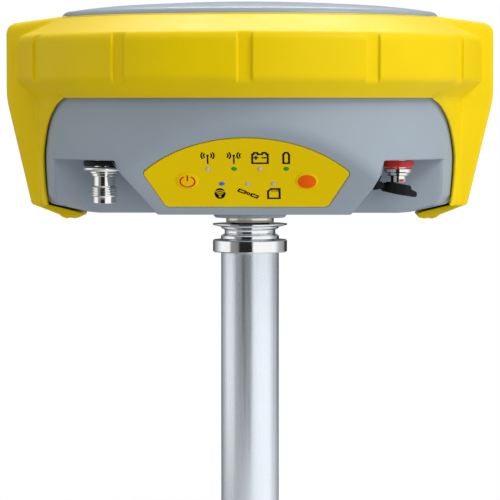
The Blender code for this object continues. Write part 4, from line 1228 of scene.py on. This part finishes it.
def build_world():
    """White behind the object, and a studio with soft boxes and dark cards for everything else."""
    world = bpy.data.worlds.new("studio")
    bpy.context.scene.world = world
    world.use_nodes = True
    tree = world.node_tree
    tree.nodes.clear()

    def node(kind, **settings):
        made = tree.nodes.new(kind)
        for key, value in settings.items():
            setattr(made, key, value)
        return made

    def link(output, socket):
        tree.links.new(output, socket)

    split = node("ShaderNodeSeparateXYZ")
    link(node("ShaderNodeTexCoord").outputs["Generated"], split.inputs[0])
    back = node("ShaderNodeMath", operation="MULTIPLY")
    link(split.outputs["Y"], back.inputs[0])
    back.inputs[1].default_value = -1.0
    angle = node("ShaderNodeMath", operation="ARCTAN2")
    link(split.outputs["X"], angle.inputs[0])
    link(back.outputs[0], angle.inputs[1])
    share = node("ShaderNodeMapRange")
    link(angle.outputs[0], share.inputs["Value"])
    share.inputs["From Min"].default_value = -math.pi
    share.inputs["From Max"].default_value = math.pi

    rise = node("ShaderNodeMapRange")
    link(split.outputs["Z"], rise.inputs["Value"])
    rise.inputs["From Min"].default_value = -1.0

    def levels(source, stops, low, high):
        made = node("ShaderNodeValToRGB")
        link(source.outputs["Result"], made.inputs["Fac"])
        fill_ramp(made.color_ramp, [((at - low) / (high - low), level) for at, level in stops])
        return made.outputs["Color"]

    def blended(weight, first):
        made = node("ShaderNodeMix", data_type="RGBA")
        link(weight, made.inputs["Factor"])
        link(first, made.inputs[6])
        return made

    low = blended(levels(rise, DOWNWARDS, -1.0, 1.0), levels(share, AROUND, -180.0, 180.0))
    link(levels(share, BELOW, -180.0, 180.0), low.inputs[7])
    mix = blended(levels(rise, UPWARDS, -1.0, 1.0), low.outputs[2])
    mix.inputs[7].default_value = (TOP_LEVEL, TOP_LEVEL, TOP_LEVEL, 1.0)

    studio = node("ShaderNodeBackground")
    link(mix.outputs[2], studio.inputs["Color"])
    studio.inputs["Strength"].default_value = STUDIO_STRENGTH
    backdrop = node("ShaderNodeBackground")
    backdrop.inputs["Color"].default_value = (1.0, 1.0, 1.0, 1.0)
    choose = node("ShaderNodeMixShader")
    link(node("ShaderNodeLightPath").outputs["Is Camera Ray"], choose.inputs[0])
    link(studio.outputs[0], choose.inputs[1])
    link(backdrop.outputs[0], choose.inputs[2])
    link(choose.outputs[0], node("ShaderNodeOutputWorld").inputs["Surface"])


# Brightness round the horizon. Angles are in degrees from the camera's side, positive to the right.
AROUND = (
    (-180.0, 0.10), (-150.0, 0.10), (-125.0, 0.45), (-99.0, 1.15), (-66.0, 1.15), (-60.0, 0.34),
    (-36.0, 0.26), (-31.0, 0.02), (7.0, 0.02), (12.0, 1.2), (84.0, 1.2), (104.0, 0.55), (130.0, 0.35),
    (140.0, 0.03), (180.0, 0.10),
)
# The same below the horizon, where the light comes mostly from the front and the right.
BELOW = ((-180.0, 0.2), (-70.0, 0.4), (-30.0, 0.8), (0.0, 1.05), (90.0, 1.25), (180.0, 0.2))
# How far the light from below or above replaces it, by the height of the direction.
DOWNWARDS = ((-1.0, 1.0), (-0.4, 1.0), (-0.12, 0.0), (1.0, 0.0))
UPWARDS = ((-1.0, 0.0), (0.25, 0.0), (0.6, 1.0), (1.0, 1.0))
TOP_LEVEL = 0.9
STUDIO_STRENGTH = 0.92

LIGHTS = (
    # name, place, watts, width, height, all in metres
    ("key", (1.15, -0.8, 1.35), 12.0, 0.7, 0.7),
    ("back", (0.0, 1.0, 1.35), 9.0, 0.8, 0.5),
)


def build_lights():
    aim = Vector((0.0, 0.0, BOSS + 0.04))
    for name, spot, watts, width, height in LIGHTS:
        light = bpy.data.lights.new(name, "AREA")
        light.shape = "RECTANGLE"
        light.size = width
        light.size_y = height
        light.energy = watts
        lamp_object = bpy.data.objects.new(name, light)
        lamp_object.location = spot
        lamp_object.rotation_euler = (aim - Vector(spot)).to_track_quat("-Z", "Y").to_euler()
        lamp_object.visible_camera = False
        bpy.context.scene.collection.objects.link(lamp_object)


FLOOR_FADE = (0.03, 0.12)  # distances from the pole's axis, in metres
FLOOR_RINGS = (60.0, 140.0, 9000.0)


def build_floor():
    """A plain pale floor that fades to the backdrop's white a little way from the pole's foot."""
    made = Nodes("floor")
    radius = made.node("ShaderNodeVectorMath", operation="LENGTH")
    made.link(made.place, radius.inputs[0])
    fade = made.node("ShaderNodeMapRange", interpolation_type="SMOOTHSTEP")
    made.link(radius.outputs["Value"], fade.inputs["Value"])
    fade.inputs["From Min"].default_value, fade.inputs["From Max"].default_value = FLOOR_FADE
    mottle = made.ramp(made.noise(40.0, 3.0), 0.93, 0.97)
    made.surface("Base Color", mottle)
    made.surface("Roughness", 0.8)
    glow = made.node("ShaderNodeEmission")
    glow.inputs["Strength"].default_value = 1.0
    mix = made.node("ShaderNodeMixShader")
    made.link(fade.outputs["Result"], mix.inputs[0])
    made.link(made.shader.outputs[0], mix.inputs[1])
    made.link(glow.outputs[0], mix.inputs[2])
    made.link(mix.outputs[0], made.tree.nodes["Material Output"].inputs["Surface"])
    PAINTS["floor"] = made.material
    work = bmesh.new()
    rings = [arc((0.0, 0.0), radius, 0.0, 355.0, 71) for radius in FLOOR_RINGS]
    loops = [[work.verts.new(point) for point in at_level(ring, 0.0)] for ring in rings]
    work.faces.new(loops[0])
    join_loops(work, loops)
    floor = place("floor", work, "floor", Matrix.Scale(MM, 4))
    floor.visible_diffuse = False
    floor.visible_glossy = False


EYE = Vector((0.0251, -1.1997, BOSS + 0.0456))
TARGET = Vector((0.0, 0.0, BOSS - 0.0135))
LENS = 210.2


def build_camera():
    camera = bpy.data.cameras.new("camera")
    camera.sensor_width = 36.0
    camera.lens = LENS
    eye = bpy.data.objects.new("camera", camera)
    eye.location = EYE
    eye.rotation_euler = (TARGET - EYE).to_track_quat("-Z", "Y").to_euler()
    bpy.context.scene.collection.objects.link(eye)
    bpy.context.scene.camera = eye


foot, tube, collar, stub = build_pole()
show(foot, "pole", ["pole_foot"])
show(tube, "pole", ["pole_tube"])
show(collar, "pole", ["pole_collar"])
show(stub, "pole", ["pole_stub"])
build_receiver()
build_moving()
paint_cad()
build_world()
build_lights()
build_floor()
build_camera()
bpy.context.scene.view_settings.view_transform = "Standard"
